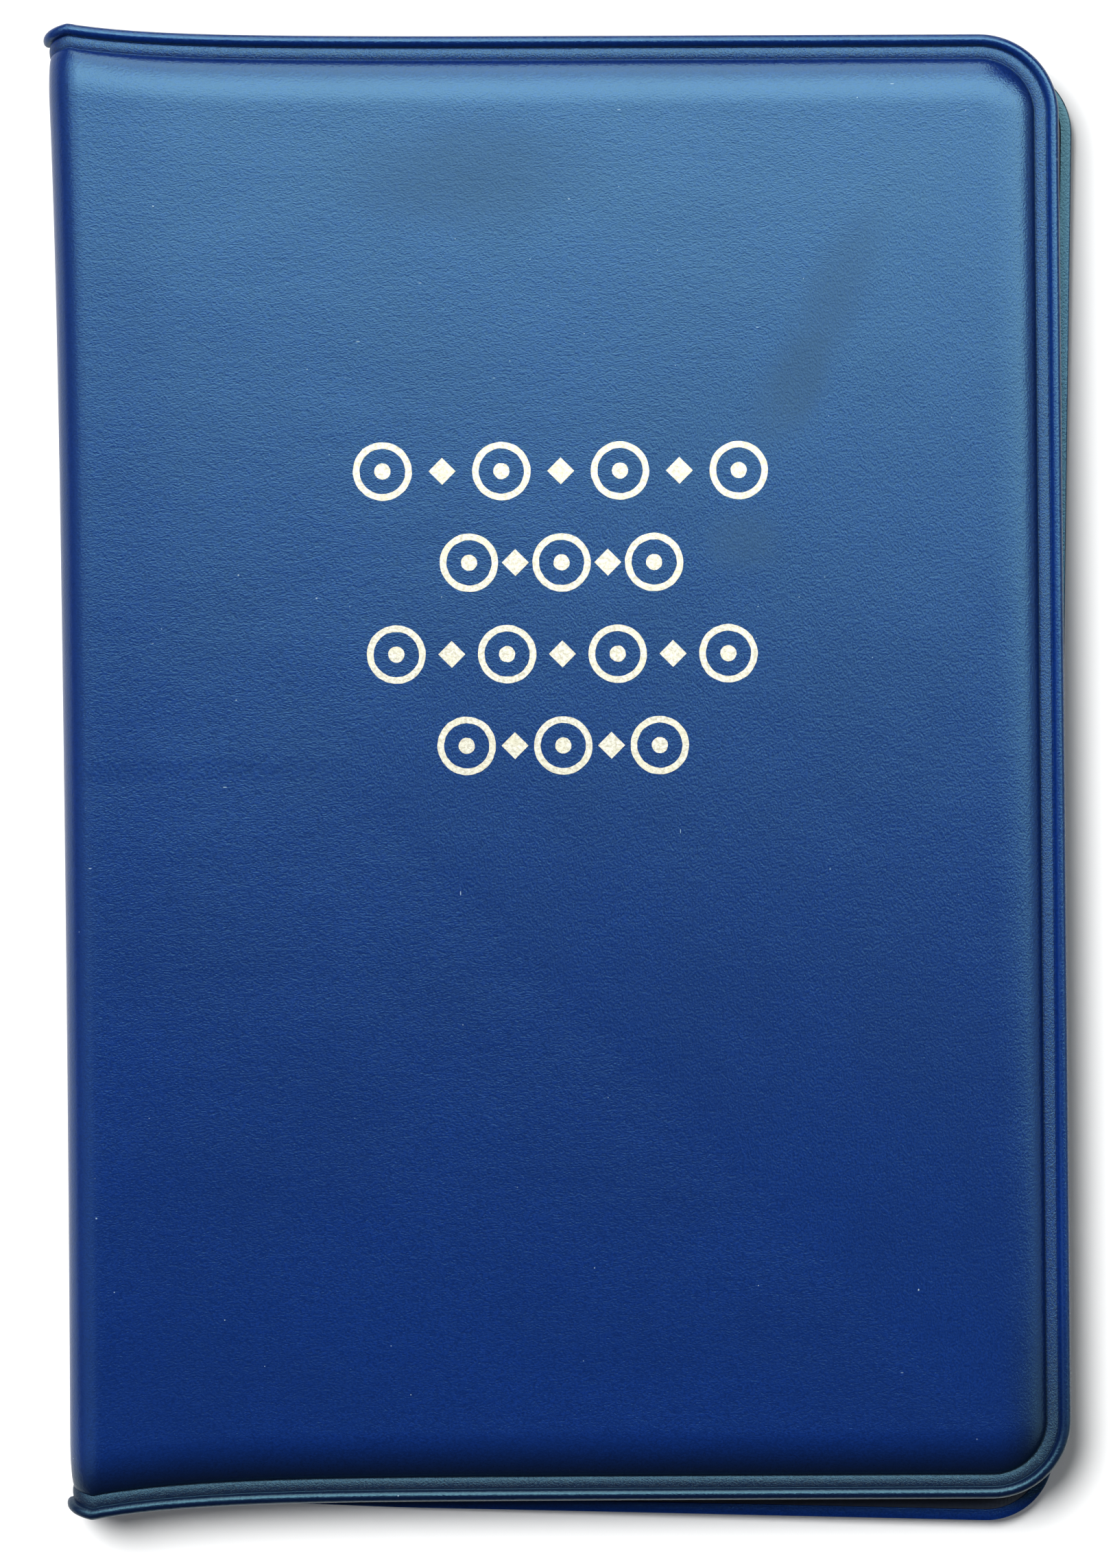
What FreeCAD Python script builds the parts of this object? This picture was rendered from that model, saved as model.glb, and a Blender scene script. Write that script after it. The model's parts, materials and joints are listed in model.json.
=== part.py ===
"""A pocket coin wallet: two padded vinyl covers joined by one soft fold, with a page of five coins between them.

The covers are boards and foam sealed between an outer skin and a lining by a welded edge, which shows as a
groove with a bead outside it. The page is a board core with five round holes, closed by clear film and framed
by vinyl sheets. A printed card slips into a clear pocket inside the front cover.

Row frame: the origin is the middle of the closed wallet's outline, on the face that it rests on. +X points from
the fold to the fore-edge, +Y to the head and +Z out of the front cover.

Cover frame, shared by both covers: u runs from the fold's axis to the fore-edge, v along the fold and w outwards,
with w = 0 on the face of the lining that the page lies against.
"""

import FreeCAD, Part

import math
import os

import Sketcher

DIMENSIONS = [
    # the closed wallet
    ("cover_length", 145.0, "head to tail"),
    ("cover_width", 100.0, "outside of the fold to the fore-edge, closed"),
    ("corner_radius", 8.0, "fore-edge corners"),
    ("fold_skew", 1.1, "degrees by which the closed front cover is turned against the back one"),
    ("fold_flare", 1.3, "how far each end of the fold stands past the straight head and tail"),
    ("flare_run", 20.0, "length of the edge that curves out to the fold"),
    # the layers, from the inside of a cover outwards
    ("lining_sheet", 0.2, "inner vinyl"),
    ("board_thick", 0.9, "stiffener"),
    ("foam_thick", 0.5, "padding"),
    ("skin_sheet", 0.3, "outer vinyl"),
    # the welded edge of a cover
    ("flange_width", 2.2, "edge of the cover to the foot of the padded panel"),
    ("bead_width", 0.9, "raised bead along the edge"),
    ("bead_height", 0.55, "bead above the lining"),
    ("weld_floor", 0.15, "skin left over the lining in the groove"),
    ("bead_round", 0.35, "rounding of the bead"),
    ("shoulder_round", 1.1, "rounding of the padded panel's edge"),
    ("board_margin", 0.5, "board to the inside of the skin"),
    ("board_play", 0.8, "foot of the lining's ramp to the edge of the board"),
    ("ramp_run", 2.4, "length over which the lining rises to the skin beside the fold"),
    # the card and its pocket
    ("card_thick", 0.25, ""),
    ("card_setback", 8.0, "fold's axis to the card"),
    ("card_side_margin", 6.5, "card to the fore-edge"),
    ("card_end_margin", 9.5, "card to the head and tail"),
    ("card_round", 2.0, "card corners"),
    ("card_show", 6.0, "card that stands out of the pocket's mouth"),
    ("pocket_film", 0.1, ""),
    ("pocket_seam", 1.5, "width of the pocket's welded seam"),
    ("slip_gap", 0.05, "play on each face of the card"),
    ("side_play", 0.5, "play between the card and the pocket's seams"),
    ("notch_radius", 9.0, "thumb notch in the pocket's mouth"),
    # the coin page
    ("leaf_gap", 0.15, "play between the page and each cover"),
    ("page_setback", 4.0, "fold's axis to the page"),
    ("page_side_margin", 2.5, "page to the fore-edge of the covers"),
    ("page_end_margin", 4.0, "page to the head and tail of the covers"),
    ("page_round", 6.0, "page corners at the fore-edge"),
    ("page_flange", 2.0, "welded edge of the page"),
    ("page_sheet", 0.2, "vinyl frame sheet"),
    ("window_film", 0.1, "clear film"),
    ("core_play", 0.1, "core to the inside of the sheets"),
    ("coin_slack", 0.05, "thickest coin to the core's thickness"),
    ("coin_play", 0.25, "coin to the wall of its hole"),
    ("window_lip", 0.5, "window beyond the hole in the core"),
    ("coin_rim", 0.8, "width of a coin's raised rim"),
    ("coin_relief", 0.12, "depth of a coin's field below its rim"),
    ("coin_bevel", 0.15, "bevel on a coin's edge"),
    ("coin_side_margin", 8.0, "outer coins to the page's long edges"),
    ("coin_end_margin", 12.0, "outer coins to the page's short edges"),
    # where the page is held in the fold
    ("binding_width", 0.9, "strip in the fold that the page is welded to"),
    ("binding_thick", 0.4, ""),
    ("tab_gap", 0.15, "flexing line on each side of the page's hinge axis"),
    # gold foil on the front cover
    ("foil_thick", 0.02, ""),
    ("foil_ring", 5.8, "outer diameter of a ring"),
    ("foil_stroke", 0.65, "width of a ring"),
    ("foil_dot", 1.6, "diameter of the dot in a ring"),
    ("foil_lozenge", 1.9, "side of a lozenge"),
    ("foil_pitch", 9.1, "row to row"),
    ("foil_rise", 15.9, "middle of the rows above the middle of the cover"),
]

# name: (diameter, thickness, side, end). Sides and ends are those of the page, and 0 is its middle.
COINS = {
    "ten": (28.5, 1.85, -1, 1),
    "five": (23.6, 1.70, 1, 1),
    "two": (25.9, 1.85, 0, 0),
    "one": (20.3, 1.60, -1, -1),
    "half": (17.1, 1.20, 1, -1),
}

# rows of foil from the head down: (motifs, step from one to the next). Rings and lozenges take turns.
FOIL_ROWS = [(7, 5.9), (5, 4.6), (7, 5.5), (5, 4.8)]

doc = FreeCAD.newDocument("coin_wallet")
made = []


# ---------------------------------------------------------------- sizes

def make_sheet():
    """The spreadsheet of driving dimensions, one aliased cell each."""
    sheet = doc.addObject("Spreadsheet::Sheet", "Sizes")
    rows = list(DIMENSIONS)
    for name, (diameter, thickness, _, _) in COINS.items():
        rows.append((f"{name}_diameter", diameter, "coin"))
        rows.append((f"{name}_thickness", thickness, "coin"))
    for row, (_, step) in enumerate(FOIL_ROWS):
        rows.append((f"foil_step_{row}", step, "motif to motif in a row of foil"))
    for row, (alias, size, note) in enumerate(rows, start=1):
        sheet.set(f"A{row}", alias)
        sheet.set(f"B{row}", str(size))
        sheet.set(f"C{row}", note)
        sheet.setAlias(f"B{row}", alias)
    doc.recompute()
    return sheet


def make_stack():
    """Sizes that follow from the sheet: the layers added up, and the fold that they make."""
    stack = doc.addObject("App::VarSet", "Stack")
    derived = [
        ("cover", "Sizes.lining_sheet + Sizes.board_thick + Sizes.foam_thick + Sizes.skin_sheet"),
        ("core", "max(" + "; ".join(f"Sizes.{name}_thickness" for name in COINS) + ") + Sizes.coin_slack"),
        ("page", "Stack.core + 2 * Sizes.window_film + 2 * Sizes.page_sheet"),
        ("pocket", "Sizes.pocket_film + Sizes.card_thick + 2 * Sizes.slip_gap"),
        ("total", "2 * Stack.cover + Stack.page + Stack.pocket + 2 * Sizes.leaf_gap"),
        ("fold_radius", "Stack.total / 2"),
        ("fold_x", "Stack.fold_radius - Sizes.cover_width / 2"),
        ("panel_width", "Sizes.cover_width - Stack.fold_radius"),
        ("half_length", "Sizes.cover_length / 2"),
        ("flare_radius", "(Sizes.flare_run ^ 2 + Sizes.fold_flare ^ 2) / (2 * Sizes.fold_flare)"),
        ("cavity_inset", "Sizes.flange_width + Sizes.shoulder_round / 2"),
        ("board_inset", "Stack.cavity_inset + Sizes.board_margin"),
        ("board_corner", "max(Sizes.corner_radius - Stack.board_inset; 0.5)"),
        ("page_bottom", "Stack.cover + Sizes.leaf_gap"),
        ("page_middle", "Stack.page_bottom + Stack.page / 2"),
        ("page_width", "Stack.panel_width - Sizes.page_side_margin - Sizes.page_setback"),
        ("page_length", "Sizes.cover_length - 2 * Sizes.page_end_margin"),
        ("board_left", "Sizes.ramp_run + Sizes.lining_sheet + Sizes.board_play"),
        ("card_right", "Stack.panel_width - Sizes.card_side_margin"),
        ("card_end", "Stack.half_length - Sizes.card_end_margin"),
        ("fold_inside", "Stack.fold_radius - Sizes.skin_sheet - Sizes.lining_sheet"),
        ("strip_low", "Stack.fold_radius - Stack.page_middle + Sizes.binding_thick / 2"),
        ("strip_reach", "sqrt(Stack.fold_inside ^ 2 - Stack.strip_low ^ 2)"),
        ("hinge_reach", "Stack.strip_reach - Sizes.binding_width"),
    ]
    for name, expression in derived:
        stack.addProperty("App::PropertyFloat", name)
        stack.setExpression(name, expression)
        doc.recompute()
    return stack


sizes = make_sheet()
stack = make_stack()


def value(expression):
    """The number that an expression on the sheet has now."""
    return float(stack.evalExpression(str(expression)))


# ---------------------------------------------------------------- drawing helpers

def new_body(label):
    body = doc.addObject("PartDesign::Body", label)
    body.Label = label
    made.append(body)
    return body


def origin_feature(body, role):
    return next(feature for feature in body.Origin.OriginFeatures if feature.Role == role)


def new_sketch(body, name, height=None):
    """A sketch parallel to the body's XY plane, raised by the expression height."""
    sketch = body.newObject("Sketcher::SketchObject", name)
    sketch.AttachmentSupport = [(origin_feature(body, "XY_Plane"), "")]
    sketch.MapMode = "FlatFace"
    if height is not None:
        sketch.setExpression("AttachmentOffset.Base.z", str(height))
    return sketch


def bind(sketch, name, expression, kind, *places):
    """Adds a dimension whose size is the expression's. An angle's expression is in degrees."""
    size = value(expression)
    if kind == "Angle":
        size = math.radians(size)
        expression = f"({expression}) * 1 deg"
    number = sketch.addConstraint(Sketcher.Constraint(kind, *places, size))
    sketch.renameConstraint(number, name)
    sketch.setExpression("Constraints." + name, str(expression))


def line(sketch, start, end):
    return sketch.addGeometry(Part.LineSegment(FreeCAD.Vector(*start, 0), FreeCAD.Vector(*end, 0)))


def arc(sketch, centre, radius, first, last):
    """An arc that runs anticlockwise between two angles in degrees."""
    circle = Part.Circle(FreeCAD.Vector(*centre, 0), FreeCAD.Vector(0, 0, 1), radius)
    return sketch.addGeometry(Part.ArcOfCircle(circle, math.radians(first), math.radians(last)))


def chain(sketch, kinds):
    """Joins the end of each edge to the start of the next. kinds lists (edge, point, next edge, point, how)."""
    for edge, point, other, other_point, how in kinds:
        sketch.addConstraint(Sketcher.Constraint(how, edge, point, other, other_point))


def cover_outline(sketch, inset="0"):
    """A cover's outline, inset from its edge: square to the fold line at the fold, and rounded at the fore-edge.
    The fold line leans by half the skew. Head and tail curve out to the ends of the fold."""
    right = value(f"Stack.panel_width - ({inset})")
    half = value(f"Stack.half_length - ({inset})")
    corner = value(f"Sizes.corner_radius - ({inset})")
    flare = value(f"Stack.flare_radius + ({inset})")
    run = value("Sizes.flare_run")
    lean = math.tan(math.radians(value("Sizes.fold_skew / 2")))
    sweep = math.degrees(math.asin(run / flare))
    fold_v = half + flare - math.sqrt(flare**2 - run**2)

    tail = line(sketch, (run, -half), (right - corner, -half))
    tail_corner = arc(sketch, (right - corner, -half + corner), corner, -90, 0)
    fore_edge = line(sketch, (right, -half + corner), (right, half - corner))
    head_corner = arc(sketch, (right - corner, half - corner), corner, 0, 90)
    head = line(sketch, (right - corner, half), (run, half))
    head_flare = arc(sketch, (run, half + flare), flare, 270 - sweep, 270)
    fold = line(sketch, (-lean * fold_v, -fold_v), (lean * fold_v, fold_v))
    tail_flare = arc(sketch, (run, -half - flare), flare, 90, 90 + sweep)
    chain(sketch, [
        (tail, 2, tail_corner, 1, "Tangent"),
        (tail_corner, 2, fore_edge, 1, "Tangent"),
        (fore_edge, 2, head_corner, 1, "Tangent"),
        (head_corner, 2, head, 1, "Tangent"),
        (head, 2, head_flare, 2, "Tangent"),
        (head_flare, 1, fold, 2, "Coincident"),
        (fold, 1, tail_flare, 2, "Coincident"),
        (tail_flare, 1, tail, 1, "Tangent"),
    ])
    sketch.addConstraint(Sketcher.Constraint("Vertical", fore_edge))
    sketch.addConstraint(Sketcher.Constraint("Horizontal", head))
    sketch.addConstraint(Sketcher.Constraint("Horizontal", tail))
    sketch.addConstraint(Sketcher.Constraint("PointOnObject", -1, 1, fold))
    bind(sketch, "right", f"Stack.panel_width - ({inset})", "DistanceX", -1, 1, fore_edge, 1)
    bind(sketch, "head", f"Stack.half_length - ({inset})", "DistanceY", -1, 1, head, 1)
    bind(sketch, "tail", f"Stack.half_length - ({inset})", "DistanceY", tail, 1, -1, 1)
    bind(sketch, "corner_one", f"Sizes.corner_radius - ({inset})", "Radius", tail_corner)
    bind(sketch, "corner_two", f"Sizes.corner_radius - ({inset})", "Radius", head_corner)
    bind(sketch, "flare_one", f"Stack.flare_radius + ({inset})", "Radius", head_flare)
    bind(sketch, "flare_two", f"Stack.flare_radius + ({inset})", "Radius", tail_flare)
    bind(sketch, "run_one", "Sizes.flare_run", "DistanceX", -1, 1, head, 2)
    bind(sketch, "run_two", "Sizes.flare_run", "DistanceX", -1, 1, tail, 1)
    bind(sketch, "lean", "90 - Sizes.fold_skew / 2", "Angle", fold)


def plate_outline(sketch, left, right, low, high, radius=None, prefix="", square_left=True):
    """A rectangle between expressions, with its right corners rounded, and its left ones too unless square_left."""
    x0, x1, y0, y1 = (value(size) for size in (left, right, low, high))
    r = value(radius) if radius else 0.0
    rounded = [not square_left, True, True, not square_left] if radius else [False] * 4
    corners = [(x0, y0), (x1, y0), (x1, y1), (x0, y1)]
    along = [(1, 0), (0, 1), (-1, 0), (0, -1)]
    edges = []
    arcs = [None] * 4
    for k in range(4):
        start, end = corners[k], corners[(k + 1) % 4]
        near, far = (r if rounded[k] else 0), (r if rounded[(k + 1) % 4] else 0)
        dx, dy = along[k]
        edges.append(line(
            sketch,
            (start[0] + dx * near, start[1] + dy * near),
            (end[0] - dx * far, end[1] - dy * far),
        ))
    for k in range(4):
        if rounded[k]:
            inward = (along[k][0] - along[k - 1][0], along[k][1] - along[k - 1][1])
            centre = (corners[k][0] + inward[0] * r, corners[k][1] + inward[1] * r)
            arcs[k] = arc(sketch, centre, r, 180 + 90 * k, 270 + 90 * k)
    for k in range(4):
        if arcs[k] is None:
            chain(sketch, [(edges[k - 1], 2, edges[k], 1, "Coincident")])
        else:
            chain(sketch, [
                (edges[k - 1], 2, arcs[k], 1, "Tangent"),
                (arcs[k], 2, edges[k], 1, "Tangent"),
            ])
            bind(sketch, f"{prefix}round_{k}", radius, "Radius", arcs[k])
    for k in (0, 2):
        sketch.addConstraint(Sketcher.Constraint("Horizontal", edges[k]))
        sketch.addConstraint(Sketcher.Constraint("Vertical", edges[k + 1]))
    place(sketch, f"{prefix}left", left, "DistanceX", edges[3])
    place(sketch, f"{prefix}right", right, "DistanceX", edges[1])
    place(sketch, f"{prefix}low", low, "DistanceY", edges[0])
    place(sketch, f"{prefix}high", high, "DistanceY", edges[2])


def place(sketch, name, expression, kind, edge):
    """Sets an edge's start from the origin, measured the way that gives a positive size."""
    if value(expression) >= 0:
        bind(sketch, name, expression, kind, -1, 1, edge, 1)
    else:
        bind(sketch, name, f"-({expression})", kind, edge, 1, -1, 1)


def circle_at(sketch, name, x, y, radius):
    """A circle whose centre and radius are expressions."""
    centre = FreeCAD.Vector(value(x), value(y), 0)
    ring = sketch.addGeometry(Part.Circle(centre, FreeCAD.Vector(0, 0, 1), value(radius)))
    bind(sketch, f"{name}_radius", radius, "Radius", ring)
    for axis, expression, kind in (("x", x, "DistanceX"), ("y", y, "DistanceY")):
        if value(expression) >= 0:
            bind(sketch, f"{name}_{axis}", expression, kind, -1, 1, ring, 3)
        else:
            bind(sketch, f"{name}_{axis}", f"-({expression})", kind, ring, 3, -1, 1)


def pad(body, sketch, name, height):
    feature = body.newObject("PartDesign::Pad", name)
    feature.Profile = sketch
    feature.setExpression("Length", str(height))
    sketch.Visibility = False
    doc.recompute()
    return feature


def pocket(body, sketch, name, depth, upwards):
    """Cuts from the sketch, upwards or downwards, and makes sure that material went."""
    before = body.Shape.Volume
    feature = body.newObject("PartDesign::Pocket", name)
    feature.Profile = sketch
    feature.Reversed = upwards
    feature.setExpression("Length", str(depth))
    sketch.Visibility = False
    doc.recompute()
    if not body.Shape.Volume < before - 1e-6:
        raise RuntimeError(f"{body.Label}: {name} cut nothing")
    return feature


def edges_where(body, test):
    """Names of the body's edges whose middle point and direction pass the test."""
    names = []
    for number, edge in enumerate(body.Shape.Edges, start=1):
        middle = edge.valueAt((edge.FirstParameter + edge.LastParameter) / 2)
        if test(edge, middle):
            names.append(f"Edge{number}")
    return names


def fillet(body, name, radius, test):
    """Rounds the edges that pass the test, by a radius bound to the sheet."""
    base = body.Tip
    names = edges_where(body, test)
    feature = body.newObject("PartDesign::Fillet", name)
    feature.Base = (base, names)
    feature.setExpression("Radius", str(radius))
    doc.recompute()
    return feature


def level(edge, height):
    """Whether the whole edge lies at that height."""
    box = edge.BoundBox
    return abs(box.ZMin - height) < 1e-4 and abs(box.ZMax - height) < 1e-4


def on_fold_line(middle):
    """Whether a point lies on the leaning plane where a cover meets the fold."""
    lean = math.tan(math.radians(value("Sizes.fold_skew / 2")))
    return abs(middle.x - lean * middle.y) < 1e-3


# ---------------------------------------------------------------- where bodies stand

def place_cover_piece(thing, side):
    """Puts a piece drawn in the cover frame on the front or the back cover."""
    thing.setExpression("Placement.Base.x", "Stack.fold_x")
    if side == "front":
        thing.setExpression("Placement.Base.z", "Stack.total - Stack.cover")
        thing.Placement.Rotation = FreeCAD.Rotation(FreeCAD.Vector(0, 0, 1), value("Sizes.fold_skew"))
        thing.setExpression("Placement.Rotation.Angle", "Sizes.fold_skew * 1 deg")
    else:
        thing.setExpression("Placement.Base.z", "Stack.cover")
        thing.Placement.Rotation = FreeCAD.Rotation(FreeCAD.Vector(1, 0, 0), 180)


def place_on_fold(thing, height):
    """Puts a piece drawn along the fold's axis in the row frame, at a height."""
    thing.setExpression("Placement.Base.x", "Stack.fold_x")
    thing.setExpression("Placement.Base.z", height)
    thing.Placement.Rotation = FreeCAD.Rotation(FreeCAD.Vector(0, 0, 1), value("Sizes.fold_skew / 2"))
    thing.setExpression("Placement.Rotation.Angle", "Sizes.fold_skew / 2 * 1 deg")


# ---------------------------------------------------------------- covers

def cover_skin(side):
    """Outer vinyl of one cover: bead, welded groove and padded panel, hollow for the board and the foam."""
    body = new_body(f"{side}_skin")
    edge = new_sketch(body, "edge_outline", "Sizes.lining_sheet")
    cover_outline(edge)
    pad(body, edge, "edge", "Sizes.bead_height")

    groove = new_sketch(body, "groove_outline", "Sizes.lining_sheet + Sizes.weld_floor")
    cover_outline(groove, "Sizes.bead_width")
    pocket(body, groove, "groove", "Sizes.bead_height - Sizes.weld_floor", upwards=True)

    panel = new_sketch(body, "panel_outline", "Sizes.lining_sheet")
    cover_outline(panel, "Sizes.flange_width")
    pad(body, panel, "panel", "Stack.cover - Sizes.lining_sheet")

    top = value("Stack.cover")
    fillet(body, "shoulder", "Sizes.shoulder_round",
           lambda e, p: level(e, top) and not on_fold_line(p))
    bead_top = value("Sizes.lining_sheet + Sizes.bead_height")
    fillet(body, "bead", "min(Sizes.bead_round; 0.49 * Sizes.bead_width)",
           lambda e, p: level(e, bead_top) and not on_fold_line(p) and e.Length > 2 * value("Sizes.bead_width"))

    cavity = new_sketch(body, "cavity_outline", "Sizes.lining_sheet")
    cover_outline(cavity, "Stack.cavity_inset")
    pocket(body, cavity, "cavity", "Stack.cover - Sizes.lining_sheet - Sizes.skin_sheet", upwards=True)
    roof = value("Stack.cover - Sizes.skin_sheet")
    fillet(body, "cavity_shoulder", "max(Sizes.shoulder_round - Sizes.skin_sheet; 0.1)",
           lambda e, p: level(e, roof) and not on_fold_line(p))
    place_cover_piece(body, side)


def cover_filler(side, name, bottom, thickness, extra_inset):
    """A board or foam sheet inside a cover, clear of the skin all round."""
    body = new_body(f"{side}_{name}")
    inset = f"(Stack.board_inset + {extra_inset})"
    sketch = new_sketch(body, "outline", bottom)
    plate_outline(
        sketch,
        "Stack.board_left",
        f"Stack.panel_width - {inset}",
        f"-(Stack.half_length - {inset})",
        f"Stack.half_length - {inset}",
        "Stack.board_corner",
    )
    pad(body, sketch, name, thickness)
    place_cover_piece(body, side)


def cover_lining(side):
    """Inner vinyl of one cover, flat to the edge, which rises beside the fold to lie against the skin."""
    body = new_body(f"{side}_lining")
    sheet = new_sketch(body, "sheet_outline")
    cover_outline(sheet)
    pad(body, sheet, "sheet", "Sizes.lining_sheet")

    mouth = new_sketch(body, "ramp_opening")
    reach = "Stack.half_length - Stack.cavity_inset"
    plate_outline(mouth, "-Sizes.ramp_run", "Sizes.ramp_run", f"-({reach})", reach)
    pocket(body, mouth, "ramp_cut", "Sizes.lining_sheet", upwards=True)

    ramp = body.newObject("Sketcher::SketchObject", "ramp_section")
    ramp.AttachmentSupport = [(origin_feature(body, "XZ_Plane"), "")]
    ramp.MapMode = "FlatFace"
    ramp_section(ramp)
    slope = body.newObject("PartDesign::Pad", "ramp")
    slope.Profile = ramp
    slope.Midplane = True
    slope.setExpression("Length", f"2 * ({reach})")
    ramp.Visibility = False
    doc.recompute()
    trim_ramp(body)
    place_cover_piece(body, side)


def ramp_section(sketch):
    """The lining's slope beside the fold, as a parallelogram in u and w."""
    run, sheet = value("Sizes.ramp_run"), value("Sizes.lining_sheet")
    rise = value("Stack.cover - Sizes.skin_sheet - Sizes.lining_sheet")
    foot, top = run + sheet, -sheet * 4
    points = [(foot, 0), (foot, sheet), (run, sheet), (0, rise + sheet), (top, rise + sheet), (top, rise),
              (0, rise), (run, 0)]
    edges = [line(sketch, points[k - 1], points[k]) for k in range(len(points))]
    for k in range(len(points)):
        sketch.addConstraint(Sketcher.Constraint("Coincident", edges[k - 1], 2, edges[k], 1))
    dims = {
        1: ("Sizes.ramp_run + Sizes.lining_sheet", "Sizes.lining_sheet"),
        2: ("Sizes.ramp_run", "Sizes.lining_sheet"),
    }
    level_top = "Stack.cover - Sizes.skin_sheet"
    for k, (u, w) in dims.items():
        bind(sketch, f"u_{k}", u, "DistanceX", -1, 1, edges[k], 2)
        bind(sketch, f"w_{k}", w, "DistanceY", -1, 1, edges[k], 2)
    for k in (0, 7):
        sketch.addConstraint(Sketcher.Constraint("PointOnObject", edges[k], 2, -1))
    bind(sketch, "u_0", "Sizes.ramp_run + Sizes.lining_sheet", "DistanceX", -1, 1, edges[0], 2)
    bind(sketch, "u_7", "Sizes.ramp_run", "DistanceX", -1, 1, edges[7], 2)
    for k in (3, 6):
        sketch.addConstraint(Sketcher.Constraint("PointOnObject", edges[k], 2, -2))
    for k in (3, 4):
        bind(sketch, f"w_{k}", level_top, "DistanceY", -1, 1, edges[k], 2)
    for k in (5, 6):
        bind(sketch, f"w_{k}", f"{level_top} - Sizes.lining_sheet", "DistanceY", -1, 1, edges[k], 2)
    for k in (4, 5):
        bind(sketch, f"u_{k}", "4 * Sizes.lining_sheet", "DistanceX", edges[k], 2, -1, 1)


def trim_ramp(body):
    """Cuts the slope off at the leaning fold line."""
    beyond = new_sketch(body, "fold_trim", "-Sizes.lining_sheet")
    lean = math.tan(math.radians(value("Sizes.fold_skew / 2")))
    tall = value("Stack.half_length * 2")
    far = value("Sizes.flare_run")
    points = [(lean * tall, tall), (-far, tall), (-far, -tall), (-lean * tall, -tall)]
    edges = [line(beyond, points[k - 1], points[k]) for k in range(4)]
    for k in range(4):
        beyond.addConstraint(Sketcher.Constraint("Coincident", edges[k - 1], 2, edges[k], 1))
    beyond.addConstraint(Sketcher.Constraint("Horizontal", edges[1]))
    beyond.addConstraint(Sketcher.Constraint("Vertical", edges[2]))
    beyond.addConstraint(Sketcher.Constraint("Horizontal", edges[3]))
    beyond.addConstraint(Sketcher.Constraint("PointOnObject", -1, 1, edges[0]))
    bind(beyond, "lean", "90 - Sizes.fold_skew / 2", "Angle", edges[0])
    bind(beyond, "far", "Sizes.flare_run", "DistanceX", edges[2], 1, -1, 1)
    bind(beyond, "high", "2 * Stack.half_length", "DistanceY", -1, 1, edges[1], 1)
    bind(beyond, "low", "2 * Stack.half_length", "DistanceY", edges[3], 1, -1, 1)
    pocket(body, beyond, "fold_cut", "2 * Stack.cover", upwards=True)


# ---------------------------------------------------------------- fold

def fold_section(sketch, points):
    """A closed section right of the fold's axis. Each point is (radius, along, sign of along) in expressions."""
    numbers = [(-value(radius), sign * value(along)) for radius, along, sign in points]
    edges = [line(sketch, numbers[k - 1], numbers[k]) for k in range(len(numbers))]
    for k, (radius, along, sign) in enumerate(points):
        sketch.addConstraint(Sketcher.Constraint("Coincident", edges[k], 2, edges[(k + 1) % len(edges)], 1))
        bind(sketch, f"radius_{k}", radius, "DistanceX", edges[k], 2, -1, 1)
        if sign > 0:
            bind(sketch, f"along_{k}", along, "DistanceY", -1, 1, edges[k], 2)
        else:
            bind(sketch, f"along_{k}", along, "DistanceY", edges[k], 2, -1, 1)


def half_turn(body, sketch):
    """Turns a section half way round the fold's axis, on the outer side."""
    turned = body.newObject("PartDesign::Revolution", "bend")
    turned.Profile = sketch
    turned.ReferenceAxis = (sketch, ["V_Axis"])
    turned.Angle = 180
    turned.Midplane = True
    sketch.Visibility = False
    doc.recompute()


def mirrored_points(upper):
    """The whole section of a piece that is the same at head and tail, from its points at the head end."""
    return [(r, a, 1) for r, a in upper] + [(r, a, -1) for r, a in reversed(upper)]


def fold_skin():
    """Outer vinyl round the fold, with the same bead, groove and shoulder at its ends as the covers have."""
    body = new_body("spine_skin")
    sketch = new_sketch(body, "section")
    inner = "Stack.fold_radius - Stack.cover"
    end = "Stack.half_length + Sizes.fold_flare"
    floor = f"{inner} + Sizes.lining_sheet + Sizes.weld_floor"
    foot = f"{end} - Sizes.flange_width"
    bevel = "Sizes.shoulder_round / 2"
    wall = f"{foot} - Sizes.shoulder_round / 2"
    roof = "Stack.fold_radius - Sizes.skin_sheet"
    fold_section(sketch, mirrored_points([
        (roof, f"{wall} - {bevel}"),
        (f"{roof} - {bevel}", wall),
        (f"{inner} + Sizes.lining_sheet", wall),
        (f"{inner} + Sizes.lining_sheet", end),
        (f"{inner} + Sizes.lining_sheet + Sizes.bead_height", end),
        (f"{inner} + Sizes.lining_sheet + Sizes.bead_height", f"{end} - Sizes.bead_width"),
        (floor, f"{end} - Sizes.bead_width"),
        (floor, foot),
        (f"Stack.fold_radius - {bevel}", foot),
        ("Stack.fold_radius", f"{foot} - {bevel}"),
    ]))
    half_turn(body, sketch)
    place_on_fold(body, "Stack.fold_radius")


def fold_lining():
    """Inner vinyl round the fold: against the skin along its middle, and on the weld at its ends."""
    body = new_body("spine_lining")
    sketch = new_sketch(body, "section")
    inner = "Stack.fold_radius - Stack.cover"
    end = "Stack.half_length + Sizes.fold_flare"
    reach = "Stack.half_length - Stack.cavity_inset"
    outer = "Stack.fold_radius - Sizes.skin_sheet"
    wall = f"{reach} - Sizes.lining_sheet"
    fold_section(sketch, mirrored_points([
        (f"{outer} - Sizes.lining_sheet", wall),
        (inner, wall),
        (inner, end),
        (f"{inner} + Sizes.lining_sheet", end),
        (f"{inner} + Sizes.lining_sheet", reach),
        (outer, reach),
    ]))
    half_turn(body, sketch)
    place_on_fold(body, "Stack.fold_radius")


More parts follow.
